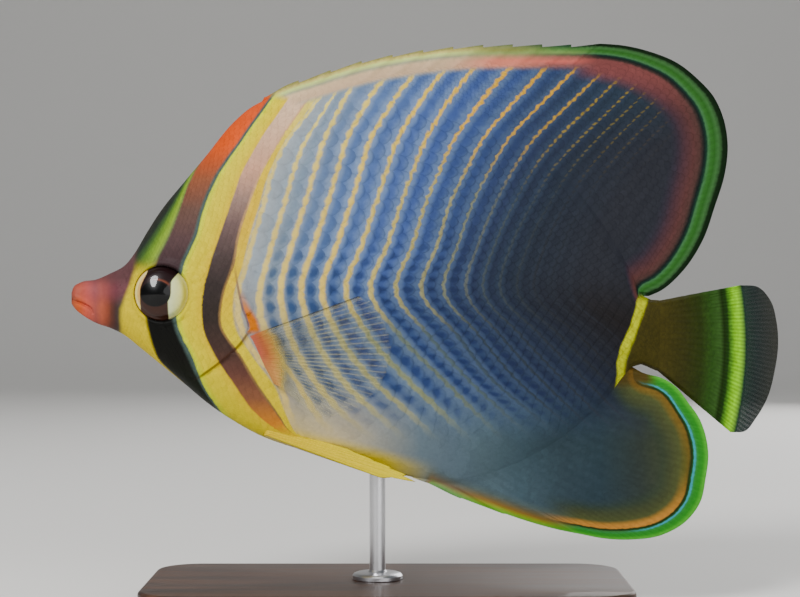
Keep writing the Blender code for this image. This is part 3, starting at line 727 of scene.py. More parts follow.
@dataclass(frozen=True)
class MedianFin:
    """A fin that grows out of the back, the belly or the end of the body."""

    name: str
    chart_corner: Spot
    rows: int = 56
    edge_half: float = 0.15
    spine_relief: float = 0.2
    ray_relief: float = 0.1

    @staticmethod
    def _rays(phase: Array, out: Array) -> Array:
        """Ridges on the rays, which fork twice on their way out.

        Args:
            phase: Number of the ray at each column.
            out: Shares of the way to the free edge.

        Returns:
            Their heights, up to 1.
        """
        once, twice, thrice = (0.5 + 0.5 * np.cos(2 * math.pi * phase * forks) for forks in (1, 2, 4))
        first, second = smooth_step((out - 0.35) / 0.2), smooth_step((out - 0.65) / 0.2)
        low = once * (1 - first) + twice * first * (1 - second) + thrice * second * first
        return low**1.5

    def patch(self, root: Array, edge: Array, root_half: Array, fall: Array, lean: tuple[Array, Array],
              phase: Array, spiny: Array) -> Patch:
        """The fin as a patch of the skin.

        Args:
            root: Places where the columns start.
            edge: Places where they end.
            root_half: Half of the thickness at the root.
            fall: How fast the flesh thins towards the root, which the fin carries on.
            lean: How far each root lies off the middle plane, then how far the free edge leans on.
            phase: Number of the ray at each column, whole on a ray.
            spiny: 1 where the rays are spines, 0 where they are soft.

        Returns:
            The patch.
        """
        even = np.linspace(0, 1, self.rows) ** 0.85
        out = np.concatenate([even * 0.99, [0.9955, 1.0]])[None, :]
        spots = root[:, None] + (edge - root)[:, None] * out[..., None]
        x, z = spots[..., 0], spots[..., 1]
        reach = np.linalg.norm(spots - root[:, None], axis=2)
        shift = lean[0][:, None] + lean[1][:, None] * smooth_step(reach / LEAN_OUT_OVER)
        spine = bump(phase - np.round(phase), 0.3)[:, None] ** 0.7 * smooth_step(reach / 2.5 - 0.4)
        soft = self._rays(phase[:, None], out) * smooth_step(reach / 3.0)
        relief = spiny[:, None] * self.spine_relief * spine + (1 - spiny[:, None]) * self.ray_relief * soft
        thins = np.clip(fall * reach[:, -1] / np.maximum(root_half - self.edge_half, 0.2), 1.5, 7.0)
        half = self.edge_half + (root_half[:, None] - self.edge_half) * (1 - out) ** thins[:, None] + relief
        ends = np.minimum(reach[:, -1:] / 1.5, 1.0) * (1 - out) + out
        half = np.where(root_half[:, None] > 0, half, half * out) * np.minimum(ends, 1.0)
        half[:, 0], half[:, -1] = root_half, 0.0
        half[[0, -1]] = 0.0
        chart = (np.repeat(np.linspace(0, 100, len(root))[:, None], out.shape[1], axis=1), reach)
        marks = {"ray": np.repeat(phase[:, None], out.shape[1], axis=1)}
        return Patch(self.name, x, z, shift, half, chart, self.chart_corner, marks)


@dataclass(frozen=True)
class SpinyFin:
    """The dorsal or the anal fin, with spines in front and soft rays behind.

    Args:
        fin: The fin's relief and its chart.
        top: Whether it grows on the back and not under the belly.
        line: The body's outline that it grows on.
        split: Where on that line the soft rays start.
        edges: Its free edge, over the spines and over the rays.
        spines: Number of spines, and of the one where the soft rays start.
        rays: Number of soft rays.
        tips: Tells which spine stands at a share of the spines' edge.
        notch: How far the membrane is cut in behind a spine.
        lean: How far its rear leans out of the middle plane.
        lean_from: Where it starts to lean.
    """

    fin: MedianFin
    top: bool
    line: Path
    split: float
    edges: tuple[Path, Path]
    spines: int
    rays: int
    tips: Callable[[Array], Array]
    notch: float
    lean: float
    lean_from: float

    def _notched(self, root: Array, edge: Array, phase: Array) -> Array:
        """The free edge with the membrane cut in behind every spine's tip.

        Args:
            root: Places where the columns start.
            edge: Places where they end.
            phase: Number of the ray at each column.

        Returns:
            The new places where they end.
        """
        behind = phase - np.floor(phase + 1e-6)
        drop = np.where(phase < self.spines - 1, smooth_step(behind / 0.12) * (1 - behind), 0.0) * self.notch
        reach = np.linalg.norm(edge - root, axis=1)
        cut = np.minimum(drop, DEEPEST_NOTCH * reach) / np.maximum(reach, 0.1)
        return edge + (root - edge) * cut[:, None]

    def patch(self, body: Body) -> Patch:
        """The fin as a patch of the skin.

        Args:
            body: The fish's body.

        Returns:
            The patch.
        """
        columns, ends = (body.dorsal, body.top) if self.top else (body.anal, body.bottom)
        last, before = (-1, -4) if self.top else (0, 3)
        root, share = ends[columns], body.stations[columns]
        split = self.line.share_at(self.split)
        front = np.clip((share - share[0]) / (split - share[0]), 0, 1)
        rear = np.clip((share - split) / (share[-1] - split), 0, 1)
        soft = share > split
        phase = np.where(soft, self.spines + rear * (self.rays - 1), self.tips(front))
        edge = np.where(soft[:, None], self.edges[1].at(rear), self.edges[0].at(front))
        edge = self._notched(root, edge, phase)
        lean = self.lean * smooth_step((edge[:, 0] - self.lean_from) / LEAN_ALONG_OVER)
        half, fall = body.patch.half[columns, last], body.fall(last, before)[columns]
        made = self.fin.patch(root, edge, half, fall, (tail_bend(root[:, 0]), lean), phase, 1.0 - soft)
        made.turned = not self.top
        return made


DORSAL_FIN = SpinyFin(
    MedianFin("dorsal", (5.0, 125.0)), True, BACK, 13.5, (DORSAL_SPINE_EDGE, DORSAL_RAY_EDGE),
    spines=12, rays=25, tips=lambda share: 11 * share ** (1 / SPINE_TIP_SPREAD), notch=1.0, lean=0.9,
    lean_from=14.0,
)
ANAL_FIN = SpinyFin(
    MedianFin("anal", (5.0, 175.0)), False, BELLY, 9.5, (ANAL_SPINE_EDGE, ANAL_RAY_EDGE),
    spines=4, rays=21, tips=lambda share: np.interp(share, ANAL_SPINE_TIPS, range(4)), notch=0.9, lean=-1.1,
    lean_from=10.0,
)


def tail_fin(body: Body) -> Patch:
    """The tail fin's patch, which carries on the body's last column.

    Args:
        body: The fish's body.

    Returns:
        The patch.
    """
    skin = body.patch
    root = np.stack([skin.x[-1], skin.z[-1]], axis=1)
    down = 1 - (body.across + 1) / 2
    bend = tail_bend(root[:, 0])
    thinning = (skin.half[-4] - skin.half[-1]) / np.maximum(skin.x[-1] - skin.x[-4], 0.1)
    made = MedianFin("tail", (5.0, 230.0), ray_relief=0.12).patch(
        root, TAIL_EDGE.at(down), skin.half[-1], thinning, (bend, 0 * bend), down * (TAIL_RAYS - 1), 0 * down
    )
    made.lean = tail_bend(made.x)
    made.turned = True
    return made


def add_marks(patches: Sequence[Patch]) -> None:
    """Gives every patch the coordinates of the markings and its distances to the fins' free edges.

    Args:
        patches: The skin's patches.
    """
    dorsal = Path(*DORSAL_SPINE_EDGE.line[::12], *DORSAL_RAY_EDGE.line[12::12])
    anal = Path(*ANAL_SPINE_EDGE.line[::12], *ANAL_RAY_EDGE.line[12::12])
    for patch in patches:
        patch.marks.update(Markings.at(*as_seen(patch.x, patch.z, patch.half)))
        patch.marks.setdefault("ray", np.zeros_like(patch.x))
        far = np.full_like(patch.x, FAR_FROM_FINS)
        over, under = patch.name in ("body", "dorsal"), patch.name in ("body", "anal")
        top = dorsal.distance(patch.x, patch.z)[0] if over else far
        low = anal.distance(patch.x, patch.z)[0] if under else far
        if patch.name == "body":
            below_back = np.hypot(patch.x - patch.x[:, -1:], patch.z - patch.z[:, -1:])
            above_belly = np.hypot(patch.x - patch.x[:, :1], patch.z - patch.z[:, :1])
            top = top + OFF_RIM * smooth_step((66.0 - patch.z) / 10.0) * smooth_step(below_back / 9.0)
            low = low + OFF_RIM * smooth_step((patch.z - 18.0) / 8.0) * smooth_step(above_belly / 7.0)
        patch.marks["top_rim"] = top
        patch.marks["low_rim"] = low + OFF_RIM * smooth_step((ANAL_FROM + 4.0 - patch.x) / 5.0)
        patch.marks["tail_zone"] = np.full_like(patch.x, float(patch.name in ("body", "tail")))
        patch.marks["keel"] = patch.z - BELLY.read(patch.x)
        patch.marks["gill"] = -GILL_EDGE.distance(patch.x, patch.z)[1] if patch.name == "body" else far
        for name in ("scale_along", "scale_across", "scale_own"):
            patch.marks[name] = np.zeros_like(patch.x)


def link(name: str, data: bpy.types.ID) -> bpy.types.Object:
    """Adds an object with this data to the scene.

    Args:
        name: The object's name.
        data: What it shows.

    Returns:
        The object.
    """
    made = bpy.data.objects.new(name, data)
    bpy.context.scene.collection.objects.link(made)
    return made


class MeshData:
    """Triangles that are gathered into one mesh object with attributes and an unwrap on its corners."""

    def __init__(self) -> None:
        """Starts an empty mesh."""
        self.points: list[Array] = []
        self.faces: list[Array] = []
        self.charts: list[Array] = []
        self.marks: dict[str, list[Array]] = {}
        self.count = 0

    def add(self, points: Array, faces: Array, chart: Array, marks: Marks) -> None:
        """Adds a surface.

        Args:
            points: The points, in millimetres.
            faces: Their triangles.
            chart: Their places on the unwrap.
            marks: Values carried by them.
        """
        points = points.reshape(-1, 3)
        self.points.append(points)
        self.faces.append(faces + self.count)
        self.charts.append(chart.reshape(-1, 2))
        for name, values in marks.items():
            self.marks.setdefault(name, []).append(np.broadcast_to(values, chart.shape[:-1]).reshape(-1))
        self.count += len(points)

    def build(self, name: str, finish: Material, slot: Slot, merge: bool = True,
              sharp_above: float = 0.0) -> bpy.types.Object:
        """Makes the object.

        Args:
            name: The object's name.
            finish: Its material.
            slot: The record's slot for the piece; not used.
            merge: Whether points in one place become one.
            sharp_above: The angle in degrees above which edges stay sharp, or 0 for none.

        Returns:
            The object, which rides on the fish's only body.
        """
        points, faces = np.concatenate(self.points), np.concatenate(self.faces)
        same = np.arange(len(points))
        if merge:
            rounded = np.round(points, MERGE_DIGITS)
            _, first, same = np.unique(rounded, axis=0, return_index=True, return_inverse=True)
            points, same = points[first], same.ravel()
        welded = same[faces]
        flat = (welded == np.roll(welded, 1, axis=1)).any(axis=1)
        faces, welded = faces[~flat], welded[~flat]
        mesh = bpy.data.meshes.new(name)
        mesh.vertices.add(len(points))
        mesh.vertices.foreach_set("co", (points * MM).astype(np.float32).ravel())
        mesh.loops.add(welded.size)
        mesh.loops.foreach_set("vertex_index", welded.astype(np.int32).ravel())
        mesh.polygons.add(len(welded))
        mesh.polygons.foreach_set("loop_start", np.arange(0, welded.size, 3, dtype=np.int32))
        corners = faces.ravel()
        unwrap = mesh.uv_layers.new(name="OFBake")
        unwrap.uv.foreach_set("vector", np.concatenate(self.charts)[corners].astype(np.float32).ravel())
        for mark, parts in self.marks.items():
            values = np.concatenate(parts)[corners].astype(np.float32)
            mesh.attributes.new(mark, "FLOAT", "CORNER").data.foreach_set("value", values)
        mesh.update(calc_edges=True)
        mesh.validate()
        mesh.shade_smooth()
        if sharp_above:
            mesh.set_sharp_from_angle(angle=math.radians(sharp_above))
        mesh.materials.append(finish)
        made = link(name, mesh)
        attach(made, BODY_NAME)
        log.info("%s: %d triangles", name, len(welded))
        return made


def operator(operation: str, swapped: bool = False) -> Callable[["Value", "Value | float"], "Value"]:
    """An operator of Value that adds a maths node.

    Args:
        operation: The node's operation.
        swapped: Whether the value comes second.

    Returns:
        The method.
    """

    def apply(value: "Value", other: "Value | float") -> "Value":
        """The result of the operation."""
        return value.maths(operation, *((other, value) if swapped else (value, other)))

    return apply


class Value:
    """A number or colour in a shader graph: arithmetic on it adds the nodes that work it out."""

    def __init__(self, graph: "Graph", socket: bpy.types.NodeSocket) -> None:
        """Takes a graph and one of its output sockets."""
        self.graph, self.socket = graph, socket

    __add__ = __radd__ = operator("ADD")
    __mul__ = __rmul__ = operator("MULTIPLY")
    __sub__, __rsub__ = operator("SUBTRACT"), operator("SUBTRACT", swapped=True)
    __truediv__ = operator("DIVIDE")

    def maths(self, operation: str, *values: "Value | float") -> "Value":
        """The result of a maths node."""
        return self.graph.value("ShaderNodeMath", {"operation": operation}, values)

    def root(self) -> "Value":
        """The square root."""
        return self.maths("SQRT", self)

    def off_whole(self) -> "Value":
        """The distance to the nearest whole number."""
        return self.maths("PINGPONG", self, 0.5)

    def part(self) -> "Value":
        """What is left above the whole number below."""
        return self.maths("FRACT", self)

    def held(self, low: float, high: float) -> "Value":
        """The number kept from low to high."""
        return self.maths("MINIMUM", self.maths("MAXIMUM", self, low), high)

    def above(self, low: float, high: float) -> "Value":
        """A soft step from 0 at low to 1 at high."""
        inputs = {"Value": self, "From Min": low, "From Max": high}
        return self.graph.value("ShaderNodeMapRange", {"interpolation_type": "SMOOTHSTEP"}, inputs)

    def below(self, low: float, high: float) -> "Value":
        """A soft step from 1 at low to 0 at high."""
        return 1.0 - self.above(low, high)

    def ramp(self, *stops: Stop) -> "Value":
        """Colours along this number, given where each one lies.

        Args:
            stops: Where each colour lies, and the colour.

        Returns:
            The colour.
        """
        first, last = stops[0][0], stops[-1][0]
        shares = [((where - first) / (last - first), colour) for where, colour in stops]
        return self.graph.value("ShaderNodeValToRGB", {"stops": shares}, ((self - first) / (last - first),))


def tint(colour: int) -> tuple[float, float, float, float]:
    """A colour as linear light.

    Args:
        colour: The colour, written as 0xRRGGBB.

    Returns:
        Its red, green, blue and alpha.
    """
    channels = [channel / 255 for channel in colour.to_bytes(3, "big")]
    light = [c / 12.92 if c < 0.04045 else ((c + 0.055) / 1.055) ** 2.4 for c in channels]
    return (light[0], light[1], light[2], 1.0)


def pigment(colour: int) -> tuple[float, float, float, float]:
    """The pigment that shows as this colour in the studio.

    Args:
        colour: The colour that shows.

    Returns:
        The pigment as linear light.
    """
    shown = np.array(tint(colour)[:3])
    shown *= min(1.0, BRIGHTEST / float(shown.max()))
    lean_in, lean_out = (lean * (shown.max() / BRIGHTEST) ** 3 for lean in (LEAN_IN, LEAN_OUT))
    toned = (shown + lean_out * shown.dot(LEAN_WEIGHTS)) / (1 + lean_out)
    light = toned * (1 + TONE_LIFT * toned**TONE_POWER)
    light = (light - lean_in * light.dot(LEAN_WEIGHTS)) / (1 - lean_in)
    return (*np.clip(light / STUDIO_LIGHT - SHEEN, 0.0, 1.0).tolist(), 1.0)


class Graph:
    """The node graph of one material."""

    def __init__(self, name: str) -> None:
        """Starts a new material.

        Args:
            name: The material's name.
        """
        self.material = bpy.data.materials.new(name)
        self.material.use_nodes = True
        self.tree = self.material.node_tree
        self.shader = self.tree.nodes["Principled BSDF"]

    def node(self, kind: str, settings: dict, inputs: dict | Sequence = ()) -> bpy.types.Node:
        """Adds a node.

        Args:
            kind: The node's type.
            settings: Its properties, or a ramp's stops.
            inputs: Its inputs by name or in order: numbers, colours or other values.

        Returns:
            The node.
        """
        made = self.tree.nodes.new(kind)
        for key, value in settings.items():
            if key == "stops":
                self._set_stops(made.color_ramp.elements, value)
            else:
                setattr(made, key, value)
        for key, value in (inputs.items() if isinstance(inputs, dict) else enumerate(inputs)):
            self.feed(made.inputs[key], value)
        return made

    @staticmethod
    def _set_stops(elements: bpy.types.ColorRampElements, stops: Sequence[Stop]) -> None:
        """Gives a ramp its stops.

        Args:
            elements: The ramp's elements.
            stops: The share of the ramp where each colour lies, and the colour.
        """
        while len(elements) < len(stops):
            elements.new(0.5)
        for element, (share, colour) in zip(elements, stops):
            element.position = share
            element.color = pigment(colour)

    def value(self, kind: str, settings: dict, inputs: dict | Sequence = (), output: int | str = 0) -> Value:
        """The output of a new node, made as by the node method."""
        return Value(self, self.node(kind, settings, inputs).outputs[output])

    def feed(self, socket: bpy.types.NodeSocket, value: Value | float | Sequence[float]) -> None:
        """Links a value to an input, or sets it.

        Args:
            socket: The input.
            value: What it gets.
        """
        if isinstance(value, Value):
            self.tree.links.new(value.socket, socket)
        else:
            socket.default_value = value

    def attribute(self, name: str) -> Value:
        """A value that the mesh carries."""
        return self.value("ShaderNodeAttribute", {"attribute_name": name}, output="Fac")

    def noise(self, per_metre: float, detail: float = 2.0, stretch: Sequence[float] = ()) -> Value:
        """Soft noise from 0 to 1, fixed to the object, and stretched if factors for its axes are given.

        Args:
            per_metre: How fine it is.
            detail: How many finer layers it has.
            stretch: Factors for its axes, if any.

        Returns:
            The noise.
        """
        place = self.value("ShaderNodeTexCoord", {}, output="Object")
        inputs = {"Vector": place, "Scale": per_metre, "Detail": detail}
        if stretch:
            inputs["Vector"] = self.value("ShaderNodeMapping", {}, {"Vector": place, "Scale": stretch})
            inputs["Distortion"] = 0.6
        return self.value("ShaderNodeTexNoise", {}, inputs)

    def mix(self, share: Value | float, first: Value | int, second: Value | int) -> Value:
        """One colour mixed into another."""
        pair = [value if isinstance(value, Value) else pigment(value) for value in (first, second)]
        return self.value("ShaderNodeMix", {"data_type": "RGBA"}, dict(zip((0, 6, 7), (share, *pair))), 2)

    def over(self, colour: Value, *coats: tuple[Value | float, Value | int]) -> Value:
        """A colour with coats of others over it, each as strong as its share.

        Args:
            colour: The colour below.
            coats: The share and the colour of each coat.

        Returns:
            The colour.
        """
        for share, coat in coats:
            colour = self.mix(share, colour, coat)
        return colour

    def shaded(self, colour: Value, share: Value | float) -> Value:
        """A colour made darker or lighter: share 1 leaves it, 0 is black."""
        return self.value("ShaderNodeVectorMath", {"operation": "SCALE"}, {0: colour, "Scale": share})

    def grain(self, height: Value, strength: float, depth_mm: float) -> None:
        """Fine relief on the shader's normal."""
        inputs = {"Height": height, "Strength": strength, "Distance": depth_mm * MM}
        self.feed(self.shader.inputs["Normal"], self.value("ShaderNodeBump", {}, inputs))

    def finish(self, **inputs: Value | float | Sequence[float]) -> Material:
        """Feeds the shader's inputs, named with underscores for spaces, and gives the material.

        Args:
            inputs: What the shader's inputs get.

        Returns:
            The material.
        """
        for key, value in inputs.items():
            self.feed(self.shader.inputs[key.replace("_", " ")], value)
        return self.material


class FishSkin:
    """The skin's finish: chevron stripes on the flank, bands on the head and margins on the fins."""

    def __init__(self, name: str) -> None:
        """Reads the marks that the skin carries.

        Args:
            name: The material's name.
        """
        self.g = Graph(name)
        names = ("stripe", "row", "band", "heel", "veil", "fore", "high", "top_rim", "low_rim", "ray",
                 "tail_zone", "gill", "keel")
        self.mark = {name: self.g.attribute(name) for name in names}
        self.along, self.across = self.g.attribute("scale_along"), self.g.attribute("scale_across")
        self.own = self.g.attribute("scale_own")
        self.coarse = self.g.noise(160.0)
        self.fine = self.g.noise(1400.0, 3.0)

    def flank(self) -> Value:
        """Golden lines and blue stripes with a dark spot at every scale, on a ground that darkens aft.

        Returns:
            The colour.
        """
        g, high, row = self.g, self.mark["high"], self.mark["row"]
        line = self.mark["stripe"] + 0.12 * (self.fine - 0.5) + 0.12 * (row.off_whole() - 0.25)
        p = self.mark["stripe"] + 0.8 * (self.coarse - 0.5)
        upper, low_flank = high.above(42, 56), high.below(18, 32)
        light = g.mix(upper, p.ramp(
            (-1, 0xACA08C), (1, 0x969896), (3, 0x788896), (5, 0x667A90), (7, 0x506280), (9, 0x3C4B66),
            (11, 0x333D50), (13, 0x2D333E), (17, 0x272424),
        ), p.ramp(
            (-1, 0xA2A6A6), (1, 0x929DA4), (2, 0x8895A3), (3.5, 0x7C90A6), (5, 0x748AA6), (6.5, 0x667C9C),
            (8, 0x546888), (9.5, 0x42526E), (11, 0x364256), (13, 0x2E3642), (17, 0x303239),
        ))
        deep = g.mix(upper, p.ramp(
            (0, 0x74808E), (2, 0x526A8C), (4, 0x425A88), (6, 0x394E7C), (8, 0x324366), (10, 0x2D3850),
            (12, 0x2A3142), (14, 0x282B34), (17, 0x252323),
        ), p.ramp(
            (0, 0x989898), (1.5, 0x788A9A), (3, 0x5A749E), (5, 0x4C649A), (6.5, 0x405690), (8, 0x384A7A),
            (9.5, 0x323E62), (11, 0x2D354A), (13, 0x2A303C), (17, 0x2E3037),
        ))
        slate = self.mark["fore"].ramp(
            (-32, 0xD4CA96), (-18, 0xB8B098), (-9.5, 0x9A9A92), (-1.5, 0x6C7C84), (5, 0x5E707A),
            (11, 0x54686E), (18.5, 0x42565C), (26.5, 0x334346), (34.5, 0x2E3E42), (42.5, 0x353D34),
            (50.5, 0x4A502C),
        )
        dusk = high.above(78, 90) * p.above(7, 10) * 0.55
        within = line.part()
        band = within.above(0.08, 0.4) * within.below(0.45, 0.9) * (0.35 + 0.55 * p.above(0, 2.5))
        colour = g.over(
            light, (band * (1.0 - 0.8 * low_flank), deep), (dusk, 0x2E3C46), (low_flank * 0.9, slate)
        )
        sideways, lengthways = within - 0.42, row.off_whole()
        oval = ((sideways * sideways) * 22.0 + (lengthways * lengthways) * 9.0).root()
        fade = p.above(0.2, 1.6) * p.below(9, 13) * high.above(21, 31)
        fade = fade * (0.1 + 0.75 * high.below(50, 66))
        dot = p.ramp((0, 0x4C6072), (2, 0x34507A), (5, 0x2E4070), (8, 0x2A365C), (12, 0x262A38))
        colour = g.mix(oval.below(0.4, 1.35) * fade, colour, dot)
        gold = g.mix(high.above(40, 50), p.ramp(
            (0, 0xBEB27C), (3, 0xA8A47A), (4, 0x9E9D76), (5, 0x888E70), (6, 0x6A766C), (7, 0x54646A),
            (8, 0x42505D), (9.3, 0x38424F), (14, 0x2C2E34),
        ), p.ramp(
            (0, 0xBEB47E), (2, 0xC6BA7C), (4, 0xCABC76), (5.5, 0xBAB072), (7.2, 0xA29C6C), (9, 0x787C6A),
            (10, 0x5C6262), (11.1, 0x424C54), (14, 0x2E323A),
        ))
        gold = g.mix(high.above(68, 86), gold, p.ramp(
            (1, 0xC4BC82), (5, 0xC6B662), (7, 0xC2A84A), (9, 0xB89A36), (11, 0x8E7A36), (13, 0x685E36),
            (16, 0x4A4234),
        ))
        beads = (row * 1.5).off_whole()
        apart = p.above(8.5, 12.5) * high.above(58, 74)
        strength = high.above(19, 29) * (1.0 - apart * beads.above(0.2, 0.42)) * p.below(14, 18)
        colour = g.mix(line.off_whole().below(0.12, 0.34) * 0.5 * high.above(24, 34), colour, light)
        off_line = line.off_whole() * (1.0 + 0.7 * p.above(2, 9)) + 0.14 * beads * high.above(50, 72)
        return g.mix(off_line.below(0.07, 0.21) * strength, colour, gold)

    def head(self, body: Value) -> Value:
        """The bands of the head over the body's colours.

        Args:
            body: The body's colour.

        Returns:
            The colour.
        """
        g, band, high = self.g, self.mark["band"] + 0.12 * (self.coarse - 0.5), self.mark["high"]
        tan = high.ramp(
            (17, 0xE4D628), (23, 0xBE8A38), (28, 0x8E5E42), (33, 0x6A463C), (38, 0x4C3A34),
            (44, 0x3C3430), (51, 0x3E3634), (57, 0x544644), (63, 0x725C58), (68, 0x967C70),
            (74, 0xB89A82), (86, 0xBEAE9A),
        )
        bar = high.ramp(
            (28, 0x1E2418), (36, 0x1E1E1B), (46, 0x1A1B1A), (53, 0x3C2E32), (60, 0x584242),
            (66, 0x6A4E44), (72, 0x92583E), (79, 0xCE602E), (86, 0xD66436),
        )
        brow = band.ramp(
            (-0.6, 0x342624), (0, 0x323A32), (0.25, 0x466434), (0.5, 0x6C8E30), (0.8, 0x8CA438),
            (1, 0x6E7C4A),
        )
        brow = g.mix(high.above(70, 80), brow, 0x5C5C42)
        golden = high.ramp(
            (18, 0xECDE14), (28, 0xFAEC1E), (40, 0xFAEE28), (48, 0xF0DC3C), (56, 0xE0CE50),
            (64, 0xDEC84A), (76, 0xE8D64A), (86, 0xE0D682),
        )
        yellow = band.ramp((2, 0xECF41E), (2.25, 0xFFF600), (2.7, 0xFFF200), (3, 0xFCE814))
        gill = self.mark["gill"] + 0.3 * (self.coarse - 0.5)
        wedge = gill - 0.2 * (high - 41.5)
        behind = wedge.above(-2.9, -1.6) * gill.below(-0.3, 0)
        behind = behind * high.above(40.5, 42) * high.below(44, 52)
        # Painted shade: dark lines in the crease along the gill cover's edge.
        painted_crease_shade = gill.above(-0.35, -0.1) * gill.below(0.1, 0.35)
        keel = self.mark["keel"] + 0.6 * (self.coarse - 0.5)
        fore = self.mark["fore"]
        belly = keel.below(1.5, 5) * fore.above(-31, -27) * fore.below(-10, 3)
        fore = fore + 1.2 * (self.coarse - 0.5)
        snout = fore.ramp(
            (-72, 0xA86038), (-69.5, 0xC46A3E), (-68.2, 0xC26854), (-66.4, 0xA25850), (-65.2, 0xAC6048),
            (-64.2, 0x96503C), (-63.4, 0x6C4034), (-62.5, 0x4E3936), (-61.4, 0x4A4A42),
        )
        snout = g.over(
            snout, (high.above(46, 49.5) * 0.5, 0x8C4A58), (high.above(50, 52.5) * 0.7, 0x5C4242)
        )
        return g.over(
            g.mix(band.above(4.62, 4.86), golden, body),
            (band.below(3.98, 4.1), high.ramp((52, 0x8C7044), (72, 0xBAA278))),
            (band.below(3.84, 3.98), tan),
            (band.below(2.95, 3.05), yellow),
            (band.below(1.97, 2.05), 0x4C5E58),
            (band.below(1.8, 1.94), bar),
            (band.below(0.93, 1.07) * high.below(53, 57), 0xFEF000),
            (band.below(0.93, 1.07) * high.above(52, 57), brow),
            (behind, 0xBA740E),
            # painted shade in the gill cover's crease, above and below
            (painted_crease_shade * high.above(41, 43) * high.below(50, 56) * 0.7, 0x764E54),
            (painted_crease_shade * high.above(31.5, 33) * high.below(40.5, 41.5) * 0.6, 0x5C3E32),
            (belly, 0xF0E20A),
            ((fore - 0.4 * (high - 46.0).held(0, 8)).below(-62.2, -60.8), snout),
        )

    def margins(self, body: Value) -> Value:
        """The bright margins of the dorsal and the anal fin over the body's colours.

        Args:
            body: The body's colour.

        Returns:
            The colour.
        """
        g, fore, high = self.g, self.mark["fore"], self.mark["high"]
        near = self.mark["top_rim"] + 0.35 * (self.fine - 0.5)
        front = near.ramp(
            (0, 0x888C50), (0.4, 0x9E985A), (0.9, 0xBCB67E), (1.3, 0xC2C896), (2, 0xA4A48A),
            (2.6, 0xBCAE96), (4.2, 0xB8A890), (5.2, 0x929C98),
        )
        mid = near.ramp(
            (0, 0x566846), (0.6, 0x868C58), (1.2, 0x8D904C), (1.8, 0x94A062), (2.4, 0xA8926C),
            (3.2, 0xC28672), (4.2, 0xC08A76), (5, 0x968276),
        )
        late = near.ramp(
            (0, 0x22402E), (0.5, 0x385C36), (1, 0x5A8646), (1.6, 0x7C9A56), (2.1, 0x686A4C),
            (2.6, 0xA0685C), (3.4, 0xBC6E64), (4.2, 0x8E5E5C), (5.2, 0x5C4C54),
        )
        spiny = g.mix(fore.above(15, 27), g.mix(fore.above(2, 15), front, mid), late)
        colour = g.mix(near.below(4.2, 5.6) * (fore - 1.3 * near).above(-33, -30.5), body, spiny)
        d = near * (2.4 - 0.044 * (fore - 26.0)).held(1, 2.4)
        soft = d.ramp(
            (0, 0x112212), (1, 0x162A14), (1.35, 0x365A32), (1.9, 0x42723C), (2.7, 0x2E6626),
            (3.5, 0x387230), (4.2, 0x487A4C), (4.6, 0x1E3C2E), (5.2, 0x1A2422), (5.8, 0x3A302C),
            (6.4, 0x543A36), (8.2, 0x5C3A38), (10.5, 0x50363A), (13, 0x40323C), (17, 0x303040),
        )
        soft = g.mix(high.above(84, 95) * d.above(5.8, 6.8) * 0.75, soft, 0x884C4A)
        rays = 0.92 + 0.2 * (self.mark["ray"] * 2.0).off_whole()
        soft = g.mix(d.below(4.2, 5), soft, g.shaded(soft, rays))
        colour = g.mix(d.below(11, 17) * fore.above(27, 35), colour, soft)
        near = self.mark["low_rim"] + 0.3 * (self.fine - 0.5)
        early = near.ramp(
            (0, 0x64A432), (0.5, 0x76A42C), (0.9, 0x929832), (1.4, 0x8E6E32), (2.1, 0x746844),
            (3.1, 0x606A5C),
        )
        colour = g.mix(near.below(1.6, 4.4) * (1.0 - 0.35 * fore.below(4, 12)), colour, early)
        d = near * (2.0 - 0.05 * (fore - 32.0)).held(1, 2)
        low = d.ramp(
            (0, 0x5CAE3E), (0.5, 0x50A636), (1.1, 0x329028), (1.9, 0x328A2E), (2.25, 0x388E42),
            (2.8, 0x3C7C3C), (3.1, 0x2A4822), (3.4, 0x223618), (3.9, 0x6C5D28), (4.8, 0x62602C),
            (6.2, 0x525832), (8.5, 0x474D32), (11.5, 0x3A4635), (15, 0x344038),
        )
        low = g.over(
            low,
            (d.above(2.3, 2.6) * d.below(2.8, 3) * fore.above(38, 47), 0x3C9EA4),
            (high.above(29.5, 32) * fore.below(43.5, 46.5), 0x544620),
            (d.above(3.5, 3.9) * d.below(4.4, 6.6) * high.below(3, 14), 0xB4883C),
            (d.above(3.5, 3.9) * d.below(4.4, 6.4) * high.above(14, 24) * 0.5, 0x846228),
        )
        return g.mix(d.below(9, 15) * fore.above(22, 31), colour, g.shaded(low, rays))

    def tail(self, body: Value) -> Value:
        """The tail's base, its fin and the yellow crescent in front of them.

        Args:
            body: The body's colour.

        Returns:
            The colour.
        """
        g, heel, veil = self.g, self.mark["heel"], self.mark["veil"] + 0.4 * (self.fine - 0.5)
        rays = (self.mark["ray"] * 2.6).off_whole()
        fin = veil.ramp(
            (-15, 0x46401A), (-11, 0x3A3A19), (-7.5, 0x2F3C16), (-5, 0x32541E), (-3.4, 0x3B5D28),
            (-2.6, 0x203411), (-1.8, 0x244216), (-1.1, 0x588E28), (-0.2, 0x8CBA18), (0.6, 0x9EC822),
            (1.3, 0x76A03C), (1.9, 0x223C30), (4.2, 0x222F2D), (8, 0x383933),
        )
        fin = g.shaded(fin, 1.0 + (0.9 * rays - 0.25) * veil.above(-6, -0.8))
        speckled = g.shaded(fin, 0.75 + 0.5 * self.fine)
        colour = g.mix(heel.above(0.6, 1.4) * self.mark["tail_zone"], body, speckled)
        wave = heel + 1.6 * (self.coarse - 0.5)
        narrow = 1.1 * self.mark["high"].below(27, 40)
        crescent = wave.above(-1.2, -0.6) * (wave + narrow).below(0.7, 1.6) * self.mark["tail_zone"]
        ends = self.mark["high"].above(26, 30) * self.mark["high"].below(47, 49.5)
        return g.mix(crescent * ends, colour, g.mix(self.fine, 0xA0A000, 0xD8DC0A))

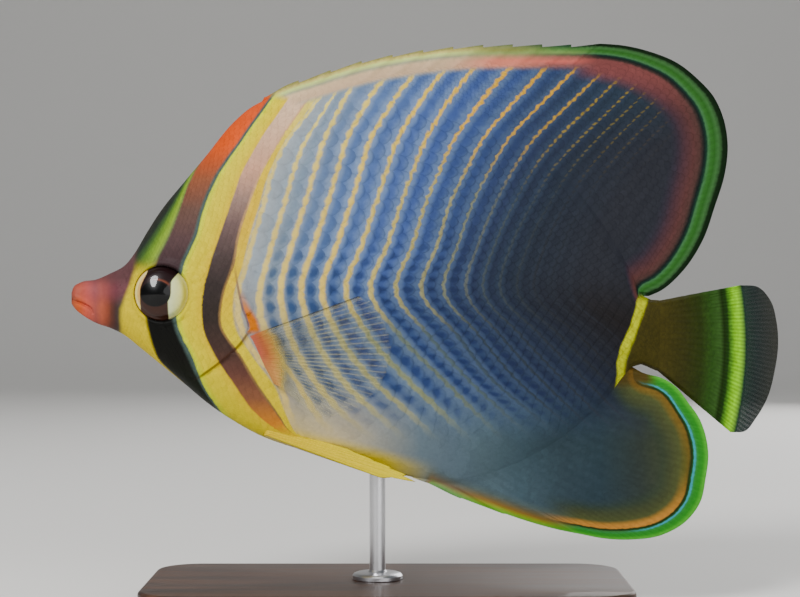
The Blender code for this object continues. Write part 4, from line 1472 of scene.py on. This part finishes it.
    def material(self) -> Material:
        """The finished material.

        Returns:
            The material.
        """
        g = self.g
        colour = self.tail(self.margins(self.head(self.flank())))
        # Painted shade: the rear rim of every scale is darkened as a painted shadow along its edge, weaker on
        # the front stripes and the lower flank.
        out = (self.along * self.along + self.across * self.across).root()
        high = self.mark["high"]
        dark = (0.24 - 0.12 * self.mark["stripe"].below(0, 6)) * (1.0 - 0.8 * high.below(22, 40))
        rim = out.above(0.66, 1) * self.along.above(-0.3, 0.4) * dark
        tone = 1.0 + 0.12 * (self.own - 0.5) + 0.28 * (self.fine - 0.5) - rim
        colour = g.shaded(colour, tone)
        clear = self.mark["veil"].above(1.6, 2.4) * self.mark["fore"].above(55, 57)
        rays = (self.mark["ray"] * 2.6).off_whole().above(0.1, 0.4)
        alpha = 1.0 - clear * (0.27 - 0.12 * rays)
        g.grain(self.fine, 0.35, 0.12)
        return g.finish(Base_Color=colour, Alpha=alpha, Roughness=0.42 + 0.14 * self.fine,
                        Specular_IOR_Level=0.06)


@dataclass
class ScaleBed:
    """Scales of one kind on a patch: where they grow in its grid, their sizes in millimetres, their
    directions in the side view, how far their rear edges stand out, and the points round one of them.
    """

    patch: Patch
    column: Array
    row: Array
    length: Array
    width: Array
    lie: Array
    lift: Array
    ring: int

    THICK = 0.04
    STEPPED = 0.08
    FLAT_BELOW = 0.03
    PATCH_SIZE = 0.003

    def add_to(self, mesh: MeshData, side: Side, random: np.random.Generator) -> None:
        """Adds all scales of the bed on one side to a mesh.

        Args:
            mesh: The mesh.
            side: The side of the fish.
            random: Gives the small differences between scales.
        """
        patch, count, ring = self.patch, len(self.column), self.ring
        turn = np.linspace(0, 2 * math.pi, ring + 1)[:-1]
        a = np.concatenate([[0.0], 0.6 * np.cos(turn), np.cos(turn), np.cos(turn)])
        b = np.concatenate([[0.0], 0.6 * np.sin(turn), np.sin(turn), np.sin(turn)])
        b = b * (1 - 0.12 * a)
        jitter = 1 + 0.08 * (random.random((count, 1)) - 0.5)
        step = (a * self.length[:, None] / 2)[..., None] * self.lie[:, None]
        across = np.stack([-self.lie[:, 1], self.lie[:, 0]], axis=1)
        step = (step + (b * self.width[:, None] / 2)[..., None] * across[:, None]) * jitter[..., None]
        flat = np.stack([patch.x, patch.z], axis=-1)
        by_column = patch.sample(np.gradient(flat, axis=0), self.column, self.row)
        by_row = patch.sample(np.gradient(flat, axis=1), self.column, self.row)
        area = by_column[:, 0] * by_row[:, 1] - by_column[:, 1] * by_row[:, 0]
        area = np.where(np.abs(area) < 1e-4, 1e-4, area)[:, None]
        i = (step[..., 0] * by_row[:, 1:2] - step[..., 1] * by_row[:, 0:1]) / area
        j = (step[..., 1] * by_column[:, 0:1] - step[..., 0] * by_column[:, 1:2]) / area
        i, j = self.column[:, None] + i, self.row[:, None] + j
        points = patch.sample(patch.points(side), i, j)
        normal = patch.sample(patch.normals(side), i, j)
        rise = 0.02 + self.lift[:, None] * a - self.THICK * (np.arange(len(a)) > 2 * ring)
        points = points + normal * rise[..., None]
        marks = {name: patch.sample(values, i, j) for name, values in patch.marks.items()}
        for name in ("stripe", "row"):
            middle = patch.sample(patch.marks[name], self.column, self.row)
            marks[name] = marks[name] + (middle[:, None] - marks[name]) * self.STEPPED
        # Scales that stand out less get a weaker painted shadow along their rear rims.
        shade_by_lift = np.minimum(self.lift / self.FLAT_BELOW, 1.0)[:, None]
        marks["scale_along"], marks["scale_across"] = a * shade_by_lift, b * shade_by_lift
        marks["scale_own"] = np.repeat(random.random((count, 1)), len(a), axis=1)
        root = patch.sample(patch.unwrapped(side), self.column, self.row)
        chart = root[:, None] + np.stack([a, b], axis=-1)[None] * self.PATCH_SIZE / 2
        faces = self._faces() if side is Side.LEFT else self._faces()[:, ::-1]
        every = (faces[None] + (np.arange(count) * len(a))[:, None, None]).reshape(-1, 3)
        mesh.add(points, every, chart, marks)

    def _faces(self) -> Array:
        """Triangles of one closed scale: its top, its rim and its underside.

        Returns:
            The numbers of the points at their corners.
        """
        ring = self.ring
        faces = []
        for inner in range(1, ring + 1):
            after = inner % ring + 1
            outer, outer_after = inner + ring, after + ring
            low, low_after = outer + ring, outer_after + ring
            faces += [(0, inner, after), (inner, outer, outer_after), (inner, outer_after, after)]
            faces += [(outer, low, low_after), (outer, low_after, outer_after)]
            if 1 < inner < ring:
                faces.append((1 + 2 * ring, low_after, low))
        return np.array(faces)


def at_gill(x: Array, z: Array) -> Array:
    """Whether places lie where the gill cover's edge steps down, which scales leave bare."""
    return (GILL_EDGE.distance(x, z)[0] < GILL_BARE) & (z < GILL_TOP)


@dataclass(frozen=True)
class ScaleZone:
    """Scales of one size on the flank, from one stripe to another, in staggered rows along them, with a
    share of their size left bare along the back and the belly.
    """

    start: float
    end: float
    rows_in_stripe: int
    size: float
    ring: int
    lift: float = 0.07
    bare: float = 0.45

    LONG, WIDE = 1.5, 1.25

    def bed(self, body: Body) -> ScaleBed:
        """The zone's bed of scales.

        Args:
            body: The fish's body.

        Returns:
            The bed of scales.
        """
        heights = np.arange(10.0, 95.0, 0.25)
        lines = [line.read(heights) for line in Markings.LINES]
        lengths = Markings.line_lengths(heights)
        parts = []
        for number, stripe in enumerate(np.arange(self.start, self.end, 1 / self.rows_in_stripe)):
            share = min(stripe / Markings.LINE_STEP, len(lines) - 1.001)
            left, over = int(share), stripe / Markings.LINE_STEP - int(share)
            line = lines[left] + (lines[left + 1] - lines[left]) * over
            pitch = float(Markings.PITCH.read(stripe))
            run = (lengths[left] + (lengths[left + 1] - lengths[left]) * min(over, 1.0)) / pitch
            wanted = np.arange(math.ceil(run[0]), run[-1]) + 0.5 * (number % 2)
            height = np.interp(wanted, run, heights)
            parts.append([np.interp(height, heights, line), height, np.full(len(height), pitch)])
        x, z, pitch = np.concatenate(parts, axis=1)
        half = Patch.sample(body.patch.half, *body.grid_place(x, z))
        column, row = body.grid_place(*as_seen(x, z, half, back=True))
        low, top = (np.interp(column, np.arange(len(line)), line[:, 1]) for line in (body.bottom, body.top))
        inside = np.minimum(z - low, top - z)
        keep = (inside > self.bare * self.size) & (Markings.at(x, z)["heel"] < 2.0)
        keep &= (column < len(body.stations) - 2) & ~at_gill(x, z)
        lift = self.lift * (0.25 + 0.75 * smooth_step((z - 14.0) / 14.0))
        lift = lift * smooth_step(inside / (2.5 * self.size))
        count = int(keep.sum())
        length, width = np.full(count, self.size * self.LONG), (pitch * self.WIDE)[keep]
        lie = np.tile([1.0, 0.0], (count, 1))
        return ScaleBed(body.patch, column[keep], row[keep], length, width, lie, lift[keep], self.ring)


def even_rows(patch: Patch, spacing: float, lift: float, keep: Callable[[Marks], Array],
              outward: bool = True) -> ScaleBed:
    """Small scales in staggered rows over a patch.

    Args:
        patch: The patch they cover.
        spacing: Distance between scales, in millimetres.
        lift: How far their rear edges stand out.
        keep: Tells from the marks of places, their column and their level which scales grow.
        outward: Whether they point out of the fin and not to the tail.

    Returns:
        The bed of scales.
    """
    flat, every = np.stack([patch.x, patch.z], axis=-1), np.arange(len(patch.x))
    parts = []
    out = np.concatenate([[0.0], np.cumsum(np.linalg.norm(np.diff(flat, axis=1), axis=2).max(axis=0))])
    for number, reach in enumerate(np.arange(0.5 * spacing, out[-1], spacing * 0.8)):
        row = np.interp(reach, out, np.arange(len(out)))
        line = Patch.sample(flat, every, np.full(len(flat), row))
        run = run_lengths(line)
        wanted = np.arange(0.5 * (1 + number % 2) * spacing, run[-1], spacing)
        parts.append([np.interp(wanted, run, every), np.full(len(wanted), row)])
    column, row = np.concatenate(parts, axis=1)
    there = {name: Patch.sample(values, column, row) for name, values in patch.marks.items()}
    there |= Markings.at(*Patch.sample(flat, column, row).T) | {"column": column, "level": row}
    kept = keep(there)
    column, row = column[kept], row[kept]
    ahead = np.tile([1.0, 0.0], (len(column), 1))
    if outward:
        ahead = Patch.sample(np.gradient(flat, axis=1), column, row)
        ahead /= np.maximum(np.linalg.norm(ahead, axis=1), 1e-6)[:, None]
    size = np.full(len(column), spacing)
    return ScaleBed(patch, column, row, size * 1.55, size * 1.3, ahead, np.full(len(size), lift), 8)


class Coat:
    """All scales, joined into a few pieces on each side."""

    SEED = 7
    SHARP_ABOVE = 40.0
    ZONES = (
        ScaleZone(0.0, 4.0, rows_in_stripe=2, size=4.2, ring=14),
        ScaleZone(4.0, 8.0, rows_in_stripe=3, size=3.0, ring=12),
        ScaleZone(8.0, 22.0, rows_in_stripe=3, size=2.1, ring=10),
    )

    def __init__(self, body: Body, patches: Sequence[Patch], finish: Material) -> None:
        """Lays out the beds of scales.

        Args:
            body: The fish's body.
            patches: The skin's patches.
            finish: Its material.
        """
        self.finish = finish
        skin = {patch.name: patch for patch in patches}
        self.beds = {
            "head": [even_rows(skin["body"], 1.5, 0.03, self._on_head, outward=False)],
            "flank": [zone.bed(body) for zone in self.ZONES],
            "fins": [
                even_rows(skin["body"], 1.2, 0.03, self._on_tail_base, outward=False),
                even_rows(skin["dorsal"], 1.6, 0.04, lambda at: (at["top_rim"] > 4.7) & (at["level"] > 0.2)),
                even_rows(skin["anal"], 1.4, 0.03, lambda at: (at["low_rim"] > 3.2) & (at["level"] > 0.2)),
                even_rows(skin["tail"], 1.1, 0.03, self._on_tail),
            ],
        }

    @staticmethod
    def _on_head(at: Marks) -> Array:
        """Scales of the head, which leave the eye, the snout and the gill cover's edge bare.

        Args:
            at: Marks of the places.

        Returns:
            Whether scales grow there.
        """
        x, z = at["fore"], at["high"]
        eye = np.hypot(x - EYE_CENTRE[0], z - EYE_CENTRE[1])
        bare = (eye < EYE_RADIUS + 1.2) | (x < -61.5) | (at["stripe"] > 0.1) | at_gill(x, z)
        return ~bare & (at["level"] > 2) & (at["level"] < BODY_ROWS - 2)

    @staticmethod
    def _on_tail_base(at: Marks) -> Array:
        """Scales of the tail's base."""
        return (at["heel"] > -0.5) & (at["level"] > 1) & (at["level"] < BODY_ROWS - 1)

    @staticmethod
    def _on_tail(at: Marks) -> Array:
        """Scales of the tail fin up to its bright band."""
        return (at["veil"] < -5.5) & (at["column"] > 2) & (at["column"] < BODY_ROWS - 2)

    def build(self) -> None:
        """Makes the pieces of both sides."""
        random = np.random.default_rng(self.SEED)
        for side in Side:
            for region, beds in self.beds.items():
                mesh = MeshData()
                for bed in beds:
                    bed.add_to(mesh, side, random)
                name = f"scales_{region}_{side.word}"
                mesh.build(name, self.finish, Slot.SKIN, merge=False, sharp_above=self.SHARP_ABOVE)


def build_skin(patches: Sequence[Patch], finish: Material) -> None:
    """The one closed skin over the body and the fins on the middle plane.

    Args:
        patches: The skin's patches.
        finish: Its material.
    """
    mesh = MeshData()
    for patch in patches:
        for side in Side:
            mesh.add(patch.points(side), patch.triangles(side), patch.unwrapped(side), patch.marks)
    skin = mesh.build("fish_skin", finish, Slot.SKIN)
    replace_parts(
        skin, "head", "lower_jaw", "gill_cover_left", "gill_cover_right", "trunk", "tail_base",
        "dorsal_fin_spiny", "dorsal_fin_soft", "anal_fin_spiny", "anal_fin_soft", "tail_fin",
    )


@dataclass(frozen=True)
class Eye:
    """A flattened eyeball with its iris, its pupil and a wet surface."""

    side: Side
    half_depth: float = 3.0
    off_middle: float = 4.75
    radius: float = 5.6
    pupil: Spot = (-53.5, 49.0)
    pupil_half_size: Spot = (3.15, 2.6)

    RINGS, AROUND, CHART = 48, 96, 30.0

    def build(self, finish: Material) -> None:
        """Makes the eye.

        Args:
            finish: Its material.
        """
        slope = np.linspace(-math.pi / 2, math.pi / 2, self.RINGS + 1)[:, None]
        turn = np.linspace(0, 2 * math.pi, self.AROUND, endpoint=False)[None, :]
        radius = self.radius * np.maximum(np.cos(slope), 0.0)
        x = EYE_CENTRE[0] + radius * np.cos(turn)
        z = EYE_CENTRE[1] + radius * np.sin(turn)
        spots = zip((x, z), self.pupil, self.pupil_half_size)
        to_pupil = np.hypot(*((spot - middle) / half for spot, middle, half in spots))
        dome = 0.25 * (1 - smooth_step(to_pupil / 1.1)) * (slope > 0)
        dome = dome - 0.2 * bump(radius - 0.86 * self.radius, 0.5) * (slope > 0)
        y = self.side.value * (self.off_middle + self.half_depth * np.sin(slope) + dome)
        faces = grid_triangles(*x.shape, closed=True)
        marks = {"fore": x, "high": z, "pupil": to_pupil, "iris": radius / self.radius + 0 * turn}
        beside = 0.5 * (self.side is Side.RIGHT)
        chart = np.stack([(x - x.min()) / self.CHART + beside, (z - z.min()) / self.CHART], axis=-1)
        mesh = MeshData()
        mesh.add(np.stack([x, y, z + LIFT], axis=-1), faces[:, :: -self.side.value], chart, marks)
        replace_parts(mesh.build(f"eyeball_{self.side.word}", finish, Slot.EYE), f"eye_{self.side.word}")

    @staticmethod
    def finish() -> Material:
        """The eye's finish: the head's dark bar runs on over the iris.

        Returns:
            The material.
        """
        g = Graph("eye_wet")
        fore, high, pupil, iris = (g.attribute(name) for name in ("fore", "high", "pupil", "iris"))
        fine = g.noise(900.0, 3.0)
        across, up = fore - EYE_CENTRE[0], high - EYE_CENTRE[1]
        cream = across.ramp(
            (-5, 0xFAE282), (-3.5, 0xFCE2AA), (1.5, 0xECF0D6), (3.6, 0xEEEEBE), (5, 0xFEFA78),
        )
        cream = g.mix(fine.above(0.5, 0.75) * across.above(2, 3) * 0.3, cream, 0xAAAA78)
        front = across - 1.4 * up.above(0.5, 5)
        back = across - 0.6 * up.above(-1.7, 0.3) - 1.4 * up.above(2, 4.6)
        bar = front.above(-4.35, -4.05) * back.below(1.25, 1.55)
        # Painted highlight: a reddish arc of light over the pupil's upper edge.
        painted_pupil_glint = pupil.above(1, 1.06) * pupil.below(1.08, 1.25) * up.above(1.2, 2.2)
        painted_pupil_glint = painted_pupil_glint * across.above(-2.4, -0.6)
        colour = g.over(
            g.mix(bar, cream, g.mix(up.above(-1, 2.4), 0x3C241C, 0x281B1C)),
            (iris.above(0.84, 0.88) * iris.below(0.92, 0.95) * (1.0 - bar) * 0.7, 0xFFFCC8),
            (iris.above(0.94, 0.98), 0x3E322C),
            # painted highlight over the pupil
            (painted_pupil_glint * 0.5, 0x96543C),
        )
        colour = g.mix(pupil.below(0.92, 1), g.shaded(colour, 0.86 + 0.28 * fine), 0x040509)
        return g.finish(Base_Color=colour, Roughness=0.35, Specular_IOR_Level=0.1, Coat_Weight=0.35,
                        Coat_Roughness=0.02)


@dataclass(frozen=True)
class SideFin:
    """A paired fin, as a thin closed sheet with rays that fan out from a root."""

    name: str
    rays: int
    columns_per_ray: int
    slot: Slot
    rows: int = 48

    PECTORAL_ROOT = Path((-35.2, 40.7), (-33.3, 36.5), (-30.2, 32.0))
    PECTORAL_EDGE = Path(
        (-13.5, 48.6), (-10.6, 47.2), (-8.2, 43), (-7.2, 38.2), (-8.8, 32.2), (-12.6, 27.6), (-17.6, 25.2),
        (-22, 24.8),
    )
    PELVIC_ROOT = ((-32.6, -2.7, 21.0), (-32.0, -2.1, 22.8))
    PELVIC_TIPS = (
        (-9.5, -6.3, 12.9), (-2.4, -6.1, 12.0), (-4.4, -5.6, 13.4), (-7.6, -5.0, 14.9), (-11.5, -4.4, 16.5),
        (-16.0, -3.8, 18.4),
    )

    def _columns(self) -> tuple[Array, Array, Array]:
        """Each column's share of the fin's width, the number of its ray, and how close a ray is.

        Returns:
            The three values of every column.
        """
        share = np.linspace(0, 1, (self.rays - 1) * self.columns_per_ray + 1)
        phase = share * (self.rays - 1)
        return share, phase, (phase - np.round(phase))[:, None]

    def _closed(self, side: Side, middle: Array, half: Array, marks: Marks,
                finish: Material) -> None:
        """Makes the fin on one side as two sheets that meet at its rim.

        Args:
            side: The side of the fish.
            middle: Points of its middle surface, by column and row.
            half: Half of its thickness there.
            marks: Values carried by the points.
            finish: Its material.
        """
        normal = np.cross(np.gradient(middle, axis=0), np.gradient(middle, axis=1))
        normal /= np.linalg.norm(normal, axis=2)[..., None]
        half = half.copy()
        half[[0, -1]] = 0.0
        half[:, [0, -1]] = 0.0
        faces = grid_triangles(*half.shape)
        u, v = np.meshgrid(*(np.linspace(0, 0.45, n) for n in half.shape), indexing="ij")
        mesh = MeshData()
        for way, shift in ((1, 0.0), (-1, 0.5)):
            chart = np.stack([u + shift, v], axis=-1)
            mesh.add(middle + way * normal * half[..., None], faces[:, ::way], chart, marks)
        made = mesh.build(f"{self.name}_{side.word}", finish, self.slot)
        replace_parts(made, f"{self.name}_fin_{side.word}")

    @classmethod
    def pectoral(cls, body: Body, side: Side, finish: Material) -> None:
        """The clear fan laid back along the flank.

        Args:
            body: The fish's body.
            side: The side of the fish.
            finish: Its material.
        """
        fin = cls("pectoral", rays=15, columns_per_ray=8, slot=Slot.CLEAR)
        share, phase, off_ray = fin._columns()
        out = (np.linspace(0, 1, fin.rows + 1) ** 0.9)[None, :]
        root, edge = cls.PECTORAL_ROOT.at(share), cls.PECTORAL_EDGE.at(share)
        scallop = 0.25 * (1 - np.abs(np.cos(math.pi * phase)))
        edge = edge - (edge - root) / np.linalg.norm(edge - root, axis=1)[:, None] * scallop[:, None]
        spots = root[:, None] + (edge - root)[:, None] * out[..., None]
        x, z = spots[..., 0], spots[..., 1]
        flesh = Patch.sample(body.patch.half, *body.grid_place(x.ravel(), z.ravel())).reshape(x.shape)
        lift = 1.9 * smooth_step(out / 0.14) + 2.4 * out - 0.95
        lift = lift + 0.25 * np.sin(phase * 1.9)[:, None] * out**2
        middle = np.stack([x, side.value * (flesh + lift), z + LIFT], axis=-1)
        ridges = 0.1 * bump(off_ray, 0.3) * (1 - 0.6 * out) * smooth_step(out / 0.2)
        half = 0.06 + 0.6 * (1 - smooth_step(out / 0.24)) + ridges
        marks = {"ray": phase[:, None] + 0 * out, "reach": out + 0 * phase[:, None], "fore": x, "high": z}
        fin._closed(side, middle, half, marks, finish)

    @classmethod
    def pelvic(cls, side: Side, finish: Material) -> None:
        """The folded fin under the belly.

        Args:
            side: The side of the fish.
            finish: Its material.
        """
        fin = cls("pelvic", rays=6, columns_per_ray=10, slot=Slot.PELVIC)
        share, phase, off_ray = fin._columns()
        mirror = np.array([1.0, -side.value, 1.0])
        start, end = (np.array(spot) * mirror for spot in cls.PELVIC_ROOT)
        root = start + (end - start) * share[:, None]
        tips = np.array(cls.PELVIC_TIPS) * mirror
        edge = np.stack([np.interp(phase, np.arange(len(tips)), axis) for axis in tips.T], axis=1)
        edge = edge + (root - edge) * 0.05 * (1 - np.abs(np.cos(math.pi * phase)))[:, None]
        out = np.linspace(0, 1, fin.rows + 1)[None, :, None]
        middle = root[:, None] + (edge - root)[:, None] * out + np.array([0.0, 0.0, LIFT])
        taper = (1 - out[..., 0]) ** 1.2
        ridges = 0.3 * bump(phase, 0.5)[:, None] + 0.16 * bump(off_ray, 0.35)
        half = 0.12 + 0.45 * taper + ridges * (0.4 + 0.6 * taper)
        marks = {"ray": phase[:, None] + 0 * taper, "reach": out[..., 0] + 0 * phase[:, None]}
        fin._closed(side, middle, half, marks, finish)

    @staticmethod
    def clear_finish() -> Material:
        """A nearly clear membrane between pale rays, with a fleshy, orange root.

        Returns:
            The material.
        """
        g = Graph("fin_membrane")
        ray, reach, high = (g.attribute(name) for name in ("ray", "reach", "high"))
        fine = g.noise(1200.0, 3.0)
        between = (ray * 2.0).off_whole()
        on_ray = between.below(0.05, 0.16)
        beside = between.above(0.16, 0.24) * between.below(0.28, 0.38)
        upper = ray.below(0, 0.5)
        fleshy = (reach + 0.07 * (fine - 0.5)).below(0.1, 0.24)
        root = reach.ramp((0, 0xBE846E), (0.05, 0xB86A54), (0.1, 0xB06A40), (0.2, 0xBE9E54))
        dark_rays = reach.below(0.3, 0.6) * high.above(36, 40)
        colour = g.over(
            g.mix(on_ray, 0xBEB668, g.mix(dark_rays, 0xCCC688, 0x3C3E36)),
            (beside * 0.5, 0x545646),
            (upper, 0x302E2A),
            (fleshy, g.mix(high.below(33, 38) * 0.7, root, 0xCCAC6C)),
        )
        shown_rays = on_ray * (0.16 - 0.1 * reach.above(0.4, 0.95)) + 0.09 * beside * reach.below(0.4, 0.9)
        alpha = (0.02 + shown_rays + 0.4 * upper + 0.85 * fleshy).held(0, 1)
        colour = g.shaded(colour, 0.85 + 0.3 * fine)
        return g.finish(Base_Color=colour, Alpha=alpha, Roughness=0.45, Specular_IOR_Level=0.05)

    @staticmethod
    def yellow_finish() -> Material:
        """Bright yellow with paler rays.

        Returns:
            The material.
        """
        g = Graph("fin_yellow")
        ray, reach = g.attribute("ray"), g.attribute("reach")
        fine = g.noise(1200.0, 3.0)
        colour = reach.ramp((0, 0xF0DE14), (0.3, 0xFAEA06), (0.8, 0xFAEC0A), (1, 0xE6DC32))
        colour = g.mix(ray.off_whole().below(0.05, 0.2) * 0.3, colour, 0xFFF63C)
        colour = g.shaded(colour, 0.85 + 0.3 * fine)
        return g.finish(Base_Color=colour, Roughness=0.4, Specular_IOR_Level=0.15)


@dataclass(frozen=True)
class Stand:
    """The wooden base and the steel rod on its foot, with sizes in millimetres."""

    size: Spot = (96.0, 46.0)
    centre_x: float = -8.0
    thick: float = 6.0
    corner: float = 9.0
    bevel: float = 0.8
    lower_bevel: float = 0.4
    rod_x: float = -10.0
    rod_radius: float = 1.6
    rod_in_belly: float = 8.0
    foot_radius: float = 5.0
    foot_thick: float = 1.4
    gap_under_foot: float = 0.02

    def _ring(self, inset: float, height: float) -> Array:
        """A ring round the base, moved in by inset.

        Args:
            inset: How far it is moved in.
            height: Its height.

        Returns:
            Its points.
        """
        length, width = (size / 2 - inset for size in self.size)
        corner = self.corner - inset
        turn = np.linspace(0, math.pi / 2, 17)
        ring = []
        for quarter, (sx, sy) in enumerate(((1, 1), (-1, 1), (-1, -1), (1, -1))):
            angle = turn + quarter * math.pi / 2
            x = self.centre_x + sx * (length - corner) + corner * np.cos(angle)
            y = sy * (width - corner) + corner * np.sin(angle)
            ring.append(np.stack([x, y, np.full_like(angle, height)], axis=1))
        return np.concatenate(ring)

    @staticmethod
    def _solid(name: str, rings: Sequence[Array], finish: Material, slot: Slot) -> None:
        """A closed solid through rings, from the lowest to the highest, with flat ends.

        Args:
            name: The piece's name.
            rings: The rings.
            finish: Its material.
            slot: The record's slot, passed on to the mesh.
        """
        count = len(rings[0])
        caps = [np.repeat(ring.mean(axis=0)[None], count, axis=0) for ring in (rings[0], rings[-1])]
        points = np.stack([caps[0], *rings, caps[1]])
        chart = (points[..., :2] + points[..., 2:] * 0.5) / 200 + 0.5
        mesh = MeshData()
        mesh.add(points, grid_triangles(len(points), count, closed=True)[:, ::-1], chart, {})
        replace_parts(mesh.build(name, finish, slot, sharp_above=35.0), f"stand_{name}")

    def build(self) -> None:
        """Makes the base and the rod."""
        turn = np.linspace(0, math.pi / 2, 6)
        low = [(self.lower_bevel * (1 - math.sin(t)), self.lower_bevel * (1 - math.cos(t))) for t in turn]
        high = [(self.bevel * (1 - math.cos(t)), self.thick - self.bevel * (1 - math.sin(t))) for t in turn]
        self._solid("base", [self._ring(*level) for level in (*low, *high)], self.wood(), Slot.WOOD)
        foot = self.thick + self.gap_under_foot
        plate = foot + self.foot_thick
        top = float(BELLY.read(self.rod_x)) + LIFT + self.rod_in_belly
        profile = (
            (self.foot_radius - 0.15, foot), (self.foot_radius, foot + 0.15), (self.foot_radius, plate - 0.6),
            (self.foot_radius - 0.3, plate - 0.25), (self.foot_radius - 0.8, plate - 0.05), (2.4, plate),
            (1.9, plate + 0.12), (self.rod_radius, plate + 0.5), (self.rod_radius, top),
        )
        turn = np.linspace(0, 2 * math.pi, 96, endpoint=False)
        x, y = np.cos(turn), np.sin(turn)
        rings = [np.stack([self.rod_x + r * x, r * y, 0 * turn + h], axis=1) for r, h in profile]
        self._solid("rod", rings, self.steel(), Slot.STEEL)

    @staticmethod
    def wood() -> Material:
        """Dark stained wood with its grain along the base.

        Returns:
            The material.
        """
        g = Graph("wood_dark")
        grain = g.noise(1.0, 6.0, stretch=(30.0, 420.0, 420.0))
        g.grain(grain, 0.25, 0.15)
        colour = grain.ramp((0.3, 0x2E1E16), (0.5, 0x4A3022), (0.7, 0x60402C))
        return g.finish(Base_Color=colour, Roughness=0.4 + 0.2 * grain, Coat_Weight=0.15)

    @staticmethod
    def steel() -> Material:
        """Brushed steel.

        Returns:
            The material.
        """
        g = Graph("steel_brushed")
        fine = g.noise(2500.0, 2.0)
        return g.finish(Base_Color=(0.62, 0.62, 0.64, 1.0), Metallic=1.0, Roughness=0.24 + 0.12 * fine)


@dataclass(frozen=True)
class Lamp:
    """A round soft light."""

    name: str
    place: tuple[float, float, float]
    size: float
    power: float

    def hang(self, aim: Sequence[float]) -> None:
        """Hangs the light so that it shines on a place.

        Args:
            aim: The place, in millimetres.
        """
        data = bpy.data.lights.new(self.name, "AREA")
        data.shape, data.size, data.energy = "DISK", self.size, self.power
        light = link(self.name, data)
        light.location = [value * MM for value in self.place]
        way = np.array(aim) - np.array(self.place, float)
        down = math.acos(-way[2] / np.linalg.norm(way))
        light.rotation_euler = (down, 0.0, math.atan2(way[0], -way[1]) + math.pi)


@dataclass(frozen=True)
class Studio:
    """The floor, the lights and the camera."""

    lens: Spot = (85.0, 36.0)
    camera: tuple[float, float, float] = (-5.5, -377.8, 62.1)
    floor: int = 0xD6D4D0
    room: tuple[tuple[float, ...], float] = ((0.75, 0.8, 0.86, 1.0), 0.2)
    aim: tuple[float, float, float] = (0.0, 0.0, 60.0)
    lamps: tuple[Lamp, ...] = (
        Lamp("key", (-420, -640, 600), 0.3, 10.6),
        Lamp("fill", (450, -700, 240), 0.8, 4.2),
        Lamp("top", (0, 100, 900), 0.6, 4.0),
        Lamp("rim", (300, 600, 300), 0.5, 2.0),
    )

    def build(self) -> None:
        """Sets up everything around the fish."""
        data = bpy.data.cameras.new("camera")
        data.lens, data.sensor_width = self.lens
        data.clip_start, data.clip_end = 0.01, 20.0
        camera = link("camera", data)
        camera.location = [value * MM for value in self.camera]
        camera.rotation_euler = (math.pi / 2, 0.0, 0.0)
        bpy.context.scene.camera = camera
        self._floor()
        world = bpy.data.worlds.new("room")
        world.use_nodes = True
        sky = world.node_tree.nodes["Background"].inputs
        sky["Color"].default_value, sky["Strength"].default_value = self.room
        bpy.context.scene.world = world
        for lamp in self.lamps:
            lamp.hang(self.aim)

    def _floor(self) -> None:
        """A pale floor that curves up into a backdrop far behind."""
        turn = np.linspace(0.1, math.pi / 2, 16)
        depth = np.concatenate([[-3000.0, 900.0], 900 + 500 * np.sin(turn), [1400.0]])
        height = np.concatenate([[0.0, 0.0], 500 * (1 - np.cos(turn)), [3000.0]])
        points = [(x * MM, y * MM, z * MM) for y, z in zip(depth, height) for x in (-4000, 4000)]
        faces = [(2 * k, 2 * k + 1, 2 * k + 3, 2 * k + 2) for k in range(len(depth) - 1)]
        mesh = bpy.data.meshes.new("floor")
        mesh.from_pydata(points, [], faces)
        mesh.shade_smooth()
        mesh.materials.append(Graph("floor_pale").finish(Base_Color=tint(self.floor), Roughness=0.7))
        link("floor", mesh)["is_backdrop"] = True


def write_sizes() -> None:
    """Works out the CAD's box and the visual model's box, and keeps neither."""
    boxes = [[[float(v) for v in corner] for corner in box] for box in (CAD_BOX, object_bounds())]


def main() -> None:
    """Builds the fish, its stand and the studio."""
    logging.basicConfig(level=logging.INFO, format="%(name)s %(message)s")
    body = Body()
    patches = [body.patch, DORSAL_FIN.patch(body), ANAL_FIN.patch(body), tail_fin(body)]
    add_marks(patches)
    skin = FishSkin("fish_skin_finish").material()
    build_skin(patches, skin)
    Coat(body, patches, skin).build()
    eye, clear, yellow = Eye.finish(), SideFin.clear_finish(), SideFin.yellow_finish()
    for side in Side:
        Eye(side).build(eye)
        SideFin.pectoral(body, side, clear)
        SideFin.pelvic(side, yellow)
    Stand().build()
    Studio().build()
    write_sizes()


if __name__ == "__main__":
    main()
